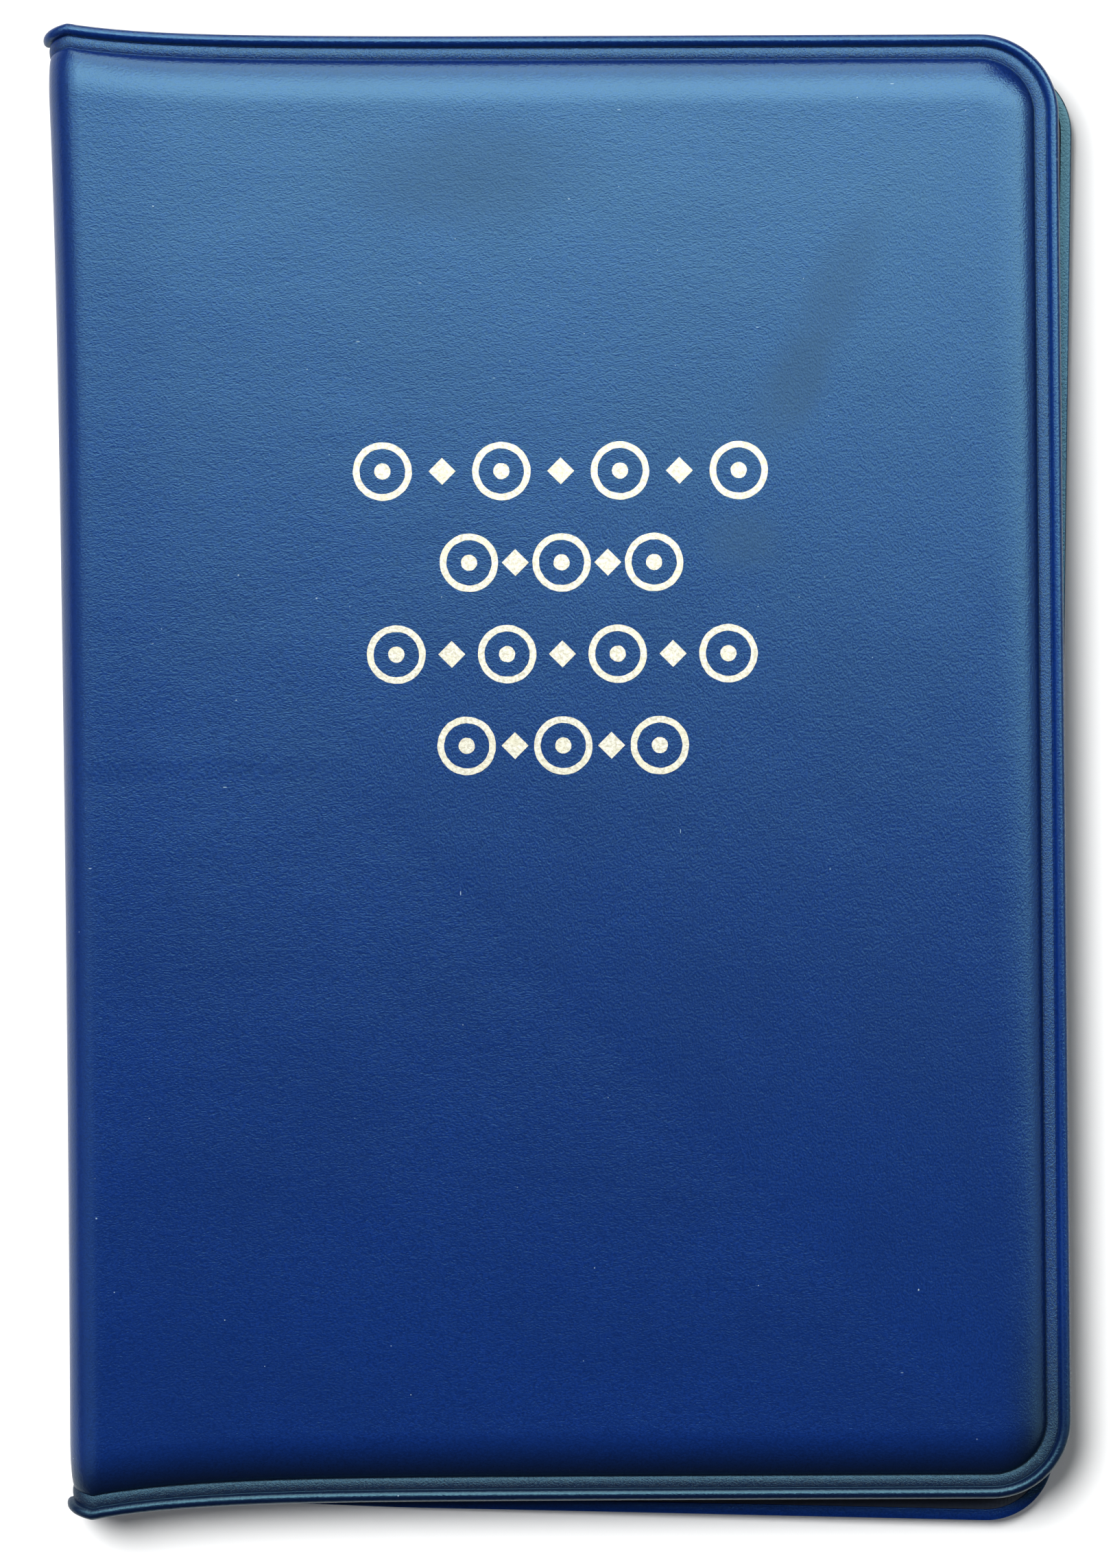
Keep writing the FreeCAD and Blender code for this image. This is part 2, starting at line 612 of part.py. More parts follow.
def binding_strip():
    """The vinyl strip down the inside of the fold that the page is welded to."""
    body = new_body("binding_strip")
    sketch = new_sketch(body, "outline", "-Sizes.binding_thick / 2")
    half = "Stack.page_length / 2 - Sizes.page_flange"
    plate_outline(
        sketch,
        "-Stack.strip_reach",
        "-(Stack.hinge_reach + Sizes.tab_gap)",
        f"-({half})",
        half,
    )
    pad(body, sketch, "strip", "Sizes.binding_thick")
    place_on_fold(body, "Stack.page_middle")


# ---------------------------------------------------------------- card and pocket

def card_pocket():
    """Clear film welded to the front lining on three sides, open at the head with a thumb notch."""
    body = new_body("card_pocket")
    depth = "(Stack.pocket)"
    mouth = "(Stack.card_end - Sizes.card_show)"
    edge = "(Sizes.side_play + Sizes.pocket_seam)"
    outline = new_sketch(body, "outline", f"-{depth}")
    plate_outline(
        outline,
        f"Sizes.card_setback - {edge}",
        f"Stack.card_right + {edge}",
        f"-(Stack.card_end + {edge})",
        mouth,
    )
    pad(body, outline, "film", depth)
    room = new_sketch(body, "card_room", f"-{depth} + Sizes.pocket_film")
    plate_outline(
        room,
        "Sizes.card_setback - Sizes.side_play",
        "Stack.card_right + Sizes.side_play",
        "-(Stack.card_end + Sizes.side_play)",
        "Stack.card_end + Sizes.side_play",
    )
    pocket(body, room, "room", depth, upwards=True)
    notch = new_sketch(body, "notch_outline", f"-{depth}")
    circle_at(notch, "notch", "(Sizes.card_setback + Stack.card_right) / 2", mouth, "Sizes.notch_radius")
    pocket(body, notch, "notch", depth, upwards=True)
    place_cover_piece(body, "front")


def info_card():
    """The printed card that slips into the pocket."""
    body = new_body("info_card")
    sketch = new_sketch(body, "outline", "-(Sizes.slip_gap + Sizes.card_thick)")
    plate_outline(
        sketch,
        "Sizes.card_setback",
        "Stack.card_right",
        "-Stack.card_end",
        "Stack.card_end",
        "Sizes.card_round",
        square_left=False,
    )
    pad(body, sketch, "card", "Sizes.card_thick")
    place_cover_piece(body, "front")


# ---------------------------------------------------------------- coin page

def coin_centre(name):
    """Where a coin sits on the page, across and along, in expressions."""
    _, _, side, end = COINS[name]
    radius = f"Sizes.{name}_diameter / 2"
    middle = "Sizes.page_setback + Stack.page_width / 2"
    across = f"{middle} + {side} * (Stack.page_width / 2 - Sizes.coin_side_margin - {radius})"
    along = f"{end} * (Stack.page_length / 2 - Sizes.coin_end_margin - {radius})"
    return across, along


def place_page_piece(body):
    place_on_fold(body, "Stack.page_middle")


def page_plate(sketch, inset):
    """The page's outline, inset from its welded edge."""
    half = f"Stack.page_length / 2 - ({inset})"
    plate_outline(
        sketch,
        f"Sizes.page_setback + ({inset})",
        f"Sizes.page_setback + Stack.page_width - ({inset})",
        f"-({half})",
        half,
        f"Sizes.page_round - ({inset})",
    )


def hole_circles(sketch, beyond):
    """Circles round every coin, that far beyond its edge."""
    for name in COINS:
        across, along = coin_centre(name)
        circle_at(sketch, name, across, along, f"Sizes.{name}_diameter / 2 + {beyond}")


def page_core():
    body = new_body("page_core")
    outline = new_sketch(body, "outline", "-Stack.core / 2")
    page_plate(outline, "Sizes.page_flange + Sizes.page_sheet + Sizes.core_play")
    pad(body, outline, "core", "Stack.core")
    holes = new_sketch(body, "coin_holes", "-Stack.core / 2")
    hole_circles(holes, "Sizes.coin_play")
    pocket(body, holes, "holes", "Stack.core", upwards=True)
    place_page_piece(body)


def page_film(side, bottom):
    """Clear film over one face of the core and its coins."""
    body = new_body(f"page_{side}_film")
    outline = new_sketch(body, "outline", bottom)
    page_plate(outline, "Sizes.page_flange + Sizes.page_sheet + Sizes.core_play")
    pad(body, outline, "film", "Sizes.window_film")
    place_page_piece(body)


def page_sheet(side):
    """Vinyl frame sheet of one face, with a window over each coin. The back one runs on to the fold as a tab."""
    body = new_body(f"page_{side}_sheet")
    front = side == "front"
    half_page = "Stack.page / 2"
    edge = new_sketch(body, "edge_outline", "0" if front else "-Sizes.page_sheet")
    page_plate(edge, "0")
    pad(body, edge, "edge", "Sizes.page_sheet")
    raised = new_sketch(body, "raised_outline", "0" if front else f"-{half_page}")
    page_plate(raised, "Sizes.page_flange")
    pad(body, raised, "raised", half_page)
    room = new_sketch(body, "core_room", "0" if front else f"-{half_page} + Sizes.page_sheet")
    page_plate(room, "Sizes.page_flange + Sizes.page_sheet")
    pocket(body, room, "core_room_cut", f"{half_page} - Sizes.page_sheet", upwards=True)
    windows = new_sketch(body, "window_outlines", f"-{half_page}")
    hole_circles(windows, "(Sizes.coin_play + Sizes.window_lip)")
    pocket(body, windows, "windows", "Stack.page", upwards=True)
    if not front:
        half = "Stack.page_length / 2 - Sizes.page_flange"
        tab = new_sketch(body, "tab_outline", "-Sizes.page_sheet")
        plate_outline(
            tab,
            "-(Stack.hinge_reach - Sizes.tab_gap)",
            "Sizes.page_setback + Sizes.page_flange / 2",
            f"-({half})",
            half,
        )
        pad(body, tab, "tab", "Sizes.page_sheet")
    place_page_piece(body)


def coin(name):
    """A coin with a raised rim on both faces and a bevelled edge."""
    body = new_body(f"coin_{name}")
    across, along = coin_centre(name)
    radius = f"Sizes.{name}_diameter / 2"
    thick = f"Sizes.{name}_thickness"
    blank = new_sketch(body, "blank_outline", f"-{thick} / 2")
    circle_at(blank, "blank", across, along, radius)
    pad(body, blank, "blank", thick)
    half_thick = value(f"{thick} / 2")
    bevel = body.newObject("PartDesign::Chamfer", "bevel")
    bevel.Base = (body.Group[-2], edges_where(body, lambda e, p: level(e, half_thick) or level(e, -half_thick)))
    bevel.setExpression("Size", "Sizes.coin_bevel")
    doc.recompute()
    for face, height in (("lower", f"-{thick} / 2"), ("upper", f"{thick} / 2 - Sizes.coin_relief")):
        field = new_sketch(body, f"{face}_field", height)
        circle_at(field, "field", across, along, f"{radius} - Sizes.coin_rim")
        pocket(body, field, f"{face}_face", "Sizes.coin_relief", upwards=True)
    place_page_piece(body)


# ---------------------------------------------------------------- foil

def foil_disc(name, diameter, across, along):
    disc = doc.addObject("Part::Cylinder", name)
    disc.setExpression("Radius", f"({diameter}) / 2")
    disc.setExpression("Height", "Sizes.foil_thick")
    disc.setExpression("Placement.Base.x", across)
    disc.setExpression("Placement.Base.y", along)
    disc.setExpression("Placement.Base.z", "Stack.cover")
    return disc


def foil_ring(name, across, along):
    """A ring with a dot in its middle, as two separate pieces of foil."""
    ring = doc.addObject("Part::Cut", f"{name}_ring")
    ring.Base = foil_disc(f"{name}_outside", "Sizes.foil_ring", across, along)
    ring.Tool = foil_disc(f"{name}_inside", "Sizes.foil_ring - 2 * Sizes.foil_stroke", across, along)
    return [ring, foil_disc(f"{name}_dot", "Sizes.foil_dot", across, along)]


def foil_lozenge(name, across, along):
    """A square of foil that stands on a corner."""
    lozenge = doc.addObject("Part::Box", name)
    lozenge.setExpression("Length", "Sizes.foil_lozenge")
    lozenge.setExpression("Width", "Sizes.foil_lozenge")
    lozenge.setExpression("Height", "Sizes.foil_thick")
    lozenge.setExpression("Placement.Base.x", across)
    lozenge.setExpression("Placement.Base.y", f"{along} - Sizes.foil_lozenge / sqrt(2)")
    lozenge.setExpression("Placement.Base.z", "Stack.cover")
    lozenge.Placement.Rotation = FreeCAD.Rotation(FreeCAD.Vector(0, 0, 1), 45)
    return [lozenge]


def foil_ornament():
    """Rows of gold rings and lozenges, centred across the closed front cover."""
    motifs = []
    middle_row = (len(FOIL_ROWS) - 1) / 2
    for row, (count, _) in enumerate(FOIL_ROWS):
        along = f"(Sizes.foil_rise + {middle_row - row} * Sizes.foil_pitch)"
        for position in range(count):
            steps = position - (count - 1) / 2
            across = f"Stack.panel_width - Sizes.cover_width / 2 + {steps} * Sizes.foil_step_{row}"
            motif = foil_lozenge if position % 2 else foil_ring
            motifs += motif(f"motif_{row}_{position}", across, along)
    foil = doc.addObject("Part::Compound", "foil_ornament")
    foil.Label = "foil_ornament"
    foil.Links = motifs
    made.append(foil)
    doc.recompute()
    place_cover_piece(foil, "front")


# ---------------------------------------------------------------- the wallet

def check():
    """Stops before anything is written if a feature failed or a piece isn't a sound solid."""
    for thing in doc.Objects:
        if "Invalid" in thing.State or "Error" in thing.State:
            raise RuntimeError(f"{thing.Label} did not compute: {thing.State}")
    for piece in made:
        if piece.Shape.isNull() or not piece.Shape.isValid() or not piece.Shape.Solids:
            raise RuntimeError(f"{piece.Label} is not a sound solid")


def build():
    for side in ("back", "front"):
        cover_skin(side)
        cover_filler(side, "foam", "Sizes.lining_sheet + Sizes.board_thick", "Sizes.foam_thick",
                     "Sizes.shoulder_round - Sizes.skin_sheet")
        cover_filler(side, "board", "Sizes.lining_sheet", "Sizes.board_thick", "0")
        cover_lining(side)
    fold_skin()
    fold_lining()
    binding_strip()
    card_pocket()
    info_card()
    page_core()
    page_film("front", "Stack.core / 2")
    page_film("back", "-(Stack.core / 2 + Sizes.window_film)")
    page_sheet("front")
    page_sheet("back")
    for name in COINS:
        coin(name)
    foil_ornament()
    doc.recompute()


build()
check()
os.makedirs("parts", exist_ok=True)
for piece in made:
    piece.Shape.exportStep(os.path.join("parts", f"{piece.Label}.step"))
    print(f"{piece.Label}: {piece.Shape.Volume:.1f} mm3, {len(piece.Shape.Solids)} solid(s)")
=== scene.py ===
import json
import math
import random

import bpy
import numpy as np
from mathutils import Matrix, Vector


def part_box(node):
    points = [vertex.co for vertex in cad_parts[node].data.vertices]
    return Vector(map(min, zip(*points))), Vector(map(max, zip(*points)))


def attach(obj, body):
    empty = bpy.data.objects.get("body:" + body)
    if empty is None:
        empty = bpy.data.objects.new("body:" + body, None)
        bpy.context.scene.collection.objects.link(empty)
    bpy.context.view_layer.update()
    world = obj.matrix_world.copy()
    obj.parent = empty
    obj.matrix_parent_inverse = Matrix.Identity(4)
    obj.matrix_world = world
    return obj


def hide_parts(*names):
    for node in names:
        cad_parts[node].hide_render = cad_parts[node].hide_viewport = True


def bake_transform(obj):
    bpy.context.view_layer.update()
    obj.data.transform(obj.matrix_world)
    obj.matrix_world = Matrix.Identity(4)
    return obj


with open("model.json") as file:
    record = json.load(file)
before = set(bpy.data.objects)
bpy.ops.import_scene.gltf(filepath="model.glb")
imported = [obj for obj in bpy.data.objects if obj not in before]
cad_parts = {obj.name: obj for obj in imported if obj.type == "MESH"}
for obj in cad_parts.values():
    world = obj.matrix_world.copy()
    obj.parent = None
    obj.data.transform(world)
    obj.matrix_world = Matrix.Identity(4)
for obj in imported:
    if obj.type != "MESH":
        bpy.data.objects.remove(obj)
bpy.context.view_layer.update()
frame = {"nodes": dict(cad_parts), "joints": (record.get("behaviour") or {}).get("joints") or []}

MM = 0.001

# ---------------------------------------------------------------------------------------------------------
# Outer vinyl: one soft sheet over the front cover, round the fold and over the back cover. Its edge is welded
# to the inner vinyl, which leaves a rounded bead outside a pressed groove; inside it the sheet climbs over
# the padding. It is made in two halves that meet down the middle of the fold.

# A point of a cover has p, its distance from the fold line towards the fore-edge (negative round the fold);
# q, its distance from the middle, towards the head on the front and the tail on the back; and w, its height
# out of the face that the page lies on.
fold_joint = next(joint for joint in frame["joints"] if joint["name"] == "spine_fold")
half_skew = math.radians(0.55)  # how far the fold line was cut off square
fold_swing = 0.7  # the bend turns about a line this far outside the straight fold
fold_radius = fold_joint["pos_m"][2] / MM / (1 - math.pi / 4)
fold_x = fold_joint["pos_m"][0] / MM + fold_swing + math.pi / 4 * fold_radius
thickness = 2 * fold_radius
# depth of one cover
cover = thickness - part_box("front_lining")[0].z / MM
fore_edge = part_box("back_lining")[1].x / MM - fold_x
half_length = 73.0
corner_radius = {"front": 8.0, "back": 6.8}
mid_fold = -math.pi / 2 * fold_radius

flare_size = 1.72  # how far the edge curves out beside the fold
flare_start = 1.5  # how far round the fold the flare begins
flare_reach = 9.3
end_drop = 1.15  # how far it comes back in over the fold
end_run = 6.0  # stretch at each end that the flare carries out whole
bow_middle, bow_ends, bow_head = 0.34, 0.3, 0.5  # how far the fold lies outside its straight line
lean_reach = 34.0  # length over which the grid turns from the fold line to square
fold_turn = math.radians(1.45)  # how far the fold leans to the left at the head
back_turn = math.radians(-0.6)
back_racking = math.radians(0.52)
front_racking = math.radians(0.15)  # the front cover was welded a little out of square
front_shift = (-0.03, 0.14)  # how far each cover has crept, across and along
back_shift = (0.03, 0.07)
edge_lift = 0.95  # how far the welded edge rides out over the fold


def smooth(low, high, x):
    t = np.clip((x - low) / (high - low), 0, 1)
    return t * t * (3 - 2 * t)


def bend_angle(p):
    """How far round the fold a point lies: 0 on the cover, a quarter turn at the middle of the fold."""
    return np.clip(-p, 0, None) / fold_radius


def inset_of(p, q):
    """Distance from the cover's edge, before the grid is curved."""
    return np.minimum(fore_edge - p, half_length - np.abs(q))


def round_corners(p, q, radius):
    """Bends the square grid round the fore-edge corners. Each line keeps its distance from the edge."""
    a = np.clip(1 - (fore_edge - p) / radius, 0, None)
    b = np.clip(1 - (half_length - np.abs(q)) / radius, 0, None)
    far = np.maximum(a, b)
    angle = math.pi / 4 * np.minimum(a, b) / np.maximum(far, 1e-9)
    along, across = far * np.cos(angle), far * np.sin(angle)
    in_corner = (a > 0) & (b > 0)
    new_a = np.where(a >= b, along, across)
    new_b = np.where(a >= b, across, along)
    new_p = np.where(in_corner, fore_edge - radius * (1 - new_a), p)
    new_q = np.where(in_corner, np.sign(q) * (half_length - radius * (1 - new_b)), q)
    return new_p, new_q


def fold_bow(q, side):
    """How far the fold lies outside its straight line."""
    towards_head = np.clip(q if side == "front" else -q, 0, None) / half_length
    return bow_middle + bow_ends * (q / half_length) ** 2 + bow_head * towards_head**5


def lay(p, q, w, side):
    """Where points of a cover stand in the row frame, in metres, as an array of (x, y, z)."""
    p, q = round_corners(p, q, corner_radius[side])
    reach = flare_size * np.exp(-np.clip(p + flare_start, 0, None) / flare_reach)
    reach = reach - end_drop * (1 - np.cos(bend_angle(p)))
    near_end = np.clip(np.abs(q) / (half_length - end_run), 0, 1) ** 3
    q = q + np.sign(q) * reach * near_end

    bend = bend_angle(p)
    axis_w = cover - fold_radius
    round_fold = p < 0
    across = np.where(round_fold, -(w - axis_w) * np.sin(bend), p)
    out = np.where(round_fold, axis_w + (w - axis_w) * np.cos(bend), w)
    front_turn = 2 * half_skew
    lean_at_fold, lean_beyond = (front_turn - fold_turn, 0) if side == "front" else (fold_turn, back_turn)
    square = smooth(0, lean_reach, p)
    lean = lean_at_fold + (lean_beyond - lean_at_fold) * square
    creep = front_shift if side == "front" else back_shift
    u = across * np.cos(lean) + q * np.sin(lean) + creep[0] * square - fold_bow(q, side) * (1 - square)
    v = -across * np.sin(lean) + q * np.cos(lean) + creep[1] * square
    if side == "back":
        u = u + back_racking * v * square
        return np.stack([fold_x + u, -v, cover - out], axis=-1) * MM
    u, v = u - front_racking * v * square, v - front_racking * np.clip(u, 0, None)
    x = fold_x + u * math.cos(front_turn) - v * math.sin(front_turn)
    y = u * math.sin(front_turn) + v * math.cos(front_turn)
    return np.stack([x, y, thickness - cover + out], axis=-1) * MM


skin_gauge = 0.3
lining_gauge = 0.2
bead_width = 1.15
bead_foot, bead_top = 0.32, 0.90
bead_tuck = 0.16  # how far the bead's rounding goes in underneath
groove_height, floor_height = 0.22, 0.36
floor_fullness = 0.6  # how squarely the pressed floor rises between its two grooves
weld_edge = 2.4  # where the pressed floor ends and the padding starts
shoulder_run = 4.7  # width of the rounded edge of the padding
shoulder_fullness = 0.55
crown = 0.30  # rise of the padding from the shoulder to the middle
back_crown = -0.02  # the back is pressed flat by what it stands on
fold_dip = 0.34  # the vinyl is drawn down a little towards the fold
fold_dip_span = (-1.5, 8.5)

bead_lines = bead_width / 2 * (1 - np.cos(np.linspace(0, math.pi, 11)))
floor_lines = bead_width + np.array([0.06, 0.14, 0.26, 0.42, 0.62, 0.82, 1.0, 1.12, 1.2])
shoulder_lines = weld_edge + shoulder_run * (1 - np.cos(np.linspace(0, math.pi / 2, 19)))
inset_lines = np.concatenate([bead_lines, floor_lines, shoulder_lines, [7.6, 8.2, 9.0]])


def skin_height(p, q, side):
    """Top of the outer vinyl above the face that the page lies on."""
    inset = inset_of(p, q)
    bead = 1 - ((inset - bead_width / 2) / (bead_width / 2)) ** 2
    bead = bead_foot + (bead_top - bead_foot) * np.sqrt(np.clip(bead, 0, 1))
    pressed = np.clip((inset - bead_width) / (weld_edge - bead_width), 0, 1)
    pressed = groove_height + (floor_height - groove_height) * np.sin(math.pi * pressed) ** floor_fullness
    climb = (1 - np.clip(1 - (inset - weld_edge) / shoulder_run, 0, 1) ** 2) ** shoulder_fullness
    lift = edge_lift * np.sin(bend_angle(p)) ** 2
    swell = (1 - (q / half_length) ** 2) * (1 - (2 * p / fore_edge - 1) ** 2)
    swell = (crown if side == "front" else back_crown) * np.clip(swell, 0, None) * (p > 0)
    panel_top = cover - fold_dip * (1 - smooth(*fold_dip_span, p)) + swell
    edge = np.where(inset < bead_width, bead, pressed) + lift
    start = groove_height + lift
    return np.where(inset < weld_edge, edge, start + (panel_top - start) * climb)


def sheet_lines(columns, rows, inner=inset_lines):
    """Grid lines of a cover sheet for p and for q, close together in the fold and at the edges."""
    round_fold = np.linspace(mid_fold, 0, 23)[:-1]
    flat = np.linspace(0, fore_edge - inner[-1], columns)[:-1]
    p = np.concatenate([round_fold, flat, (fore_edge - inner)[::-1]])
    between = np.linspace(inner[-1] - half_length, half_length - inner[-1], rows)[1:-1]
    q = np.concatenate([inner - half_length, between, (half_length - inner)[::-1]])
    return p, q


def past_fold(p):
    """One more line past the middle of the fold, so that both halves shade alike where they meet."""
    return np.concatenate([[2 * p[0] - p[1]], p])


def grid_normals(points):
    normal = np.cross(np.gradient(points, axis=0), np.gradient(points, axis=1))
    return normal / np.maximum(np.linalg.norm(normal, axis=-1, keepdims=True), 1e-12)


def add_piece(name, data):
    """A new object in the scene with this mesh, lamp or camera."""
    piece = bpy.data.objects.new(name, data)
    bpy.context.scene.collection.objects.link(piece)
    return piece


def grid_slab(name, top, bottom, extra_column, coordinates):
    """A closed sheet between two grids of points. An extra first column only shades the join."""
    top_normal, bottom_normal = grid_normals(top), -grid_normals(bottom)
    if extra_column:
        top, bottom, coordinates = top[1:], bottom[1:], coordinates[1:]
        top_normal, bottom_normal = top_normal[1:], bottom_normal[1:]
    columns, rows = top.shape[:2]
    number = np.arange(columns * rows).reshape(columns, rows)
    quads = np.stack([number[:-1, :-1], number[1:, :-1], number[1:, 1:], number[:-1, 1:]], axis=-1)
    quads = quads.reshape(-1, 4)
    rim = np.concatenate([number[:, 0], number[-1, 1:], number[-2::-1, -1], number[0, -2::-1]])
    below = columns * rows
    walls = np.stack([rim[1:], rim[:-1], rim[:-1] + below, rim[1:] + below], axis=-1)
    faces = np.concatenate([quads, quads[:, ::-1] + below, walls])
    points = np.concatenate([top.reshape(-1, 3), bottom.reshape(-1, 3)])
    mesh = bpy.data.meshes.new(name)
    mesh.from_pydata(points.tolist(), [], faces.tolist())
    normals = np.concatenate([top_normal.reshape(-1, 3), bottom_normal.reshape(-1, 3)])
    corner_normals = normals[faces]
    wall_start = points[walls[:, 0]]
    flat_walls = np.cross(points[walls[:, 1]] - wall_start, points[walls[:, 3]] - wall_start)
    flat_walls /= np.maximum(np.linalg.norm(flat_walls, axis=-1, keepdims=True), 1e-12)
    corner_normals[len(quads) * 2:] = flat_walls[:, None]
    mesh.shade_smooth()
    mesh.normals_split_custom_set(corner_normals.reshape(-1, 3).tolist())
    place = mesh.attributes.new("lay", "FLOAT_VECTOR", "POINT")
    both_faces = np.concatenate([coordinates.reshape(-1, 3)] * 2)
    place.data.foreach_set("vector", both_faces.astype(np.float32).ravel())
    return add_piece(name, mesh)


def cover_slab(name, side, top_height, bottom_height, lines):
    """A sheet of a cover, from the middle of the fold to the fore-edge, between two height functions."""
    p, q = np.meshgrid(past_fold(lines[0]), lines[1], indexing="ij")
    coordinates = np.stack([p, q, inset_of(p, q)], axis=-1)
    top = lay(p, q, top_height(p, q, side), side)
    bottom = lay(p, q, bottom_height(p, q, side), side)
    return grid_slab(name, top, bottom, True, coordinates)


def skin_underside(p, q, side):
    """Inside of the outer vinyl: its own gauge below the top, but no lower than the weld with the lining."""
    inset = inset_of(p, q)
    lift = edge_lift * np.sin(bend_angle(p)) ** 2
    bead = bead_tuck * (1 - np.sqrt(1 - np.clip(1 - inset / (bead_width / 2), 0, 1) ** 2)) + lift
    welded = lining_gauge + np.where(inset < weld_edge, lift, 0)
    welded = np.where(inset < bead_width, bead, welded)
    return np.maximum(np.where(inset < bead_width, -1, skin_height(p, q, side) - skin_gauge), welded)


class Signal:
    """A socket of numbers in a finish. Arithmetic on it adds Math nodes."""

    def __init__(self, finish, socket):
        self.finish = finish
        self.socket = socket

    def math(self, operation, *values):
        inputs = dict(enumerate(values))
        return self.finish.node("ShaderNodeMath", inputs, operation=operation)

    def __add__(self, other):
        return self.math("ADD", self, other)

    def __radd__(self, other):
        return self.math("ADD", other, self)

    def __sub__(self, other):
        return self.math("SUBTRACT", self, other)

    def __rsub__(self, other):
        return self.math("SUBTRACT", other, self)

    def __mul__(self, other):
        return self.math("MULTIPLY", self, other)

    def __rmul__(self, other):
        return self.math("MULTIPLY", other, self)

    def __pow__(self, other):
        return self.math("POWER", self, other)

    def rise(self, low, high):
        """0 below low, 1 above high and smooth between them; falls instead where low is above high."""
        inputs = {"Value": self, "From Min": low, "From Max": high}
        return self.finish.node("ShaderNodeMapRange", inputs, interpolation_type="SMOOTHSTEP")


class Finish:
    """A material whose nodes are added by node(), and whose surface is one Principled shader."""

    def __init__(self, name):
        self.material = bpy.data.materials.new(name)
        self.material.use_nodes = True
        self.tree = self.material.node_tree
        self.tree.nodes.clear()
        self.shader = self.tree.nodes.new("ShaderNodeBsdfPrincipled")
        output = self.tree.nodes.new("ShaderNodeOutputMaterial")
        self.tree.links.new(self.shader.outputs[0], output.inputs["Surface"])

    def feed(self, node, inputs):
        for key, value in inputs.items():
            socket = node.inputs[key]
            if isinstance(value, Signal):
                self.tree.links.new(value.socket, socket)
            elif socket.type == "RGBA" and len(value) == 3:
                socket.default_value = (*value, 1)
            else:
                socket.default_value = value

    def node(self, kind, inputs, take=0, **settings):
        """Adds a node with its settings and its sockets, by name or number. Gives the output named by take."""
        node = self.tree.nodes.new(kind)
        for key, value in settings.items():
            setattr(node, key, value)
        self.feed(node, inputs)
        return Signal(self, node.outputs[take])

    def surface(self, **inputs):
        self.feed(self.shader, {key.replace("_", " "): value for key, value in inputs.items()})

    def blend(self, factor, first, second):
        """A colour between two others."""
        inputs = {"Factor": factor, 6: first, 7: second}
        return self.node("ShaderNodeMix", inputs, take=2, data_type="RGBA")

    def place(self):
        """Place on the flat sheet as (p, q, distance from the edge), in mm."""
        return self.node("ShaderNodeAttribute", {}, take="Vector", attribute_name="lay")

    def noise(self, place, per_mm, detail=2.0, roughness=0.5):
        inputs = {"Vector": place, "Scale": per_mm, "Detail": detail, "Roughness": roughness}
        return self.node("ShaderNodeTexNoise", inputs, take="Fac")

    def bump(self, height, distance, under=None):
        inputs = {"Height": height, "Distance": distance, "Strength": 1.0}
        if under is not None:
            inputs["Normal"] = under
        return self.node("ShaderNodeBump", inputs)


vinyl = Finish("blue_vinyl")
place = vinyl.place()
inset = vinyl.node("ShaderNodeSeparateXYZ", {0: place}, take="Z")
grain = vinyl.noise(place, 4.2, detail=2)
mottle = vinyl.noise(place, 1.1, detail=3)
cloud = vinyl.noise(place, 0.06, detail=3)

# A few dull marks from handling: each is (across, along, half-length, half-width, turn in degrees).
smudge = 0.0
ragged = vinyl.noise(place, 0.16, detail=4)
for across, along, half_run, half_wide, turn in (
    (38, 59, 12, 5.5, 4),
    (73.5, 46, 10, 3.0, 66),
    (69, 37, 6, 3.2, 60),
    (64.5, 22.5, 3.6, 3.2, 20),
):
    angle = math.radians(turn)
    middle = {0: place, 1: (across, along, 0)}
    offset = vinyl.node("ShaderNodeVectorMath", middle, take="Vector", operation="SUBTRACT")
    run = (math.cos(angle) / half_run, math.sin(angle) / half_run, 0)
    wide = (-math.sin(angle) / half_wide, math.cos(angle) / half_wide, 0)
    run = vinyl.node("ShaderNodeVectorMath", {0: offset, 1: run}, take="Value", operation="DOT_PRODUCT")
    wide = vinyl.node("ShaderNodeVectorMath", {0: offset, 1: wide}, take="Value", operation="DOT_PRODUCT")
    smudge = smudge + (run * run + wide * wide + 1.2 * (ragged - 0.5)).rise(1.9, -0.5)
smudge = smudge.math("MINIMUM", smudge, 1.0)
weld = inset.rise(1.18, 1.32) * inset.rise(2.5, 2.3)
fold = vinyl.node("ShaderNodeSeparateXYZ", {0: place}, take="X").rise(0.8, -2.5)
speckle = vinyl.noise(place, 5.5, detail=2).rise(0.40, 0.66)

blue = vinyl.blend(grain.rise(0.30, 0.70), (0.0009, 0.0107, 0.090), (0.0021, 0.0197, 0.156))
blue = vinyl.blend(mottle.rise(0.3, 0.7) * 0.5, blue, (0.0018, 0.0165, 0.118))
blue = vinyl.blend(cloud.rise(0.35, 0.7) * 0.35, blue, (0.0016, 0.0125, 0.090))
# Painted shade: round the fold the vinyl is made a little darker and greyer, as the curve there reflects the
# dark side of the room.
blue = vinyl.blend(fold * 0.25, blue, (0.010, 0.020, 0.060))
blue = vinyl.blend(smudge * 0.5, blue, (0.003, 0.006, 0.030))
# Painted shade: the vinyl is darkened along the foot of the padding at one end, where its slope turns away from
# the light.
along = vinyl.node("ShaderNodeSeparateXYZ", {0: place}, take="Y")
painted_end_shade = inset.rise(7.5, 2.6) * along.rise(-48, -71)
blue = vinyl.blend(painted_end_shade * 0.85, blue, (0.0012, 0.003, 0.012))
blue = vinyl.blend(weld * (0.1 + 0.5 * speckle), blue, (0.014, 0.015, 0.027))

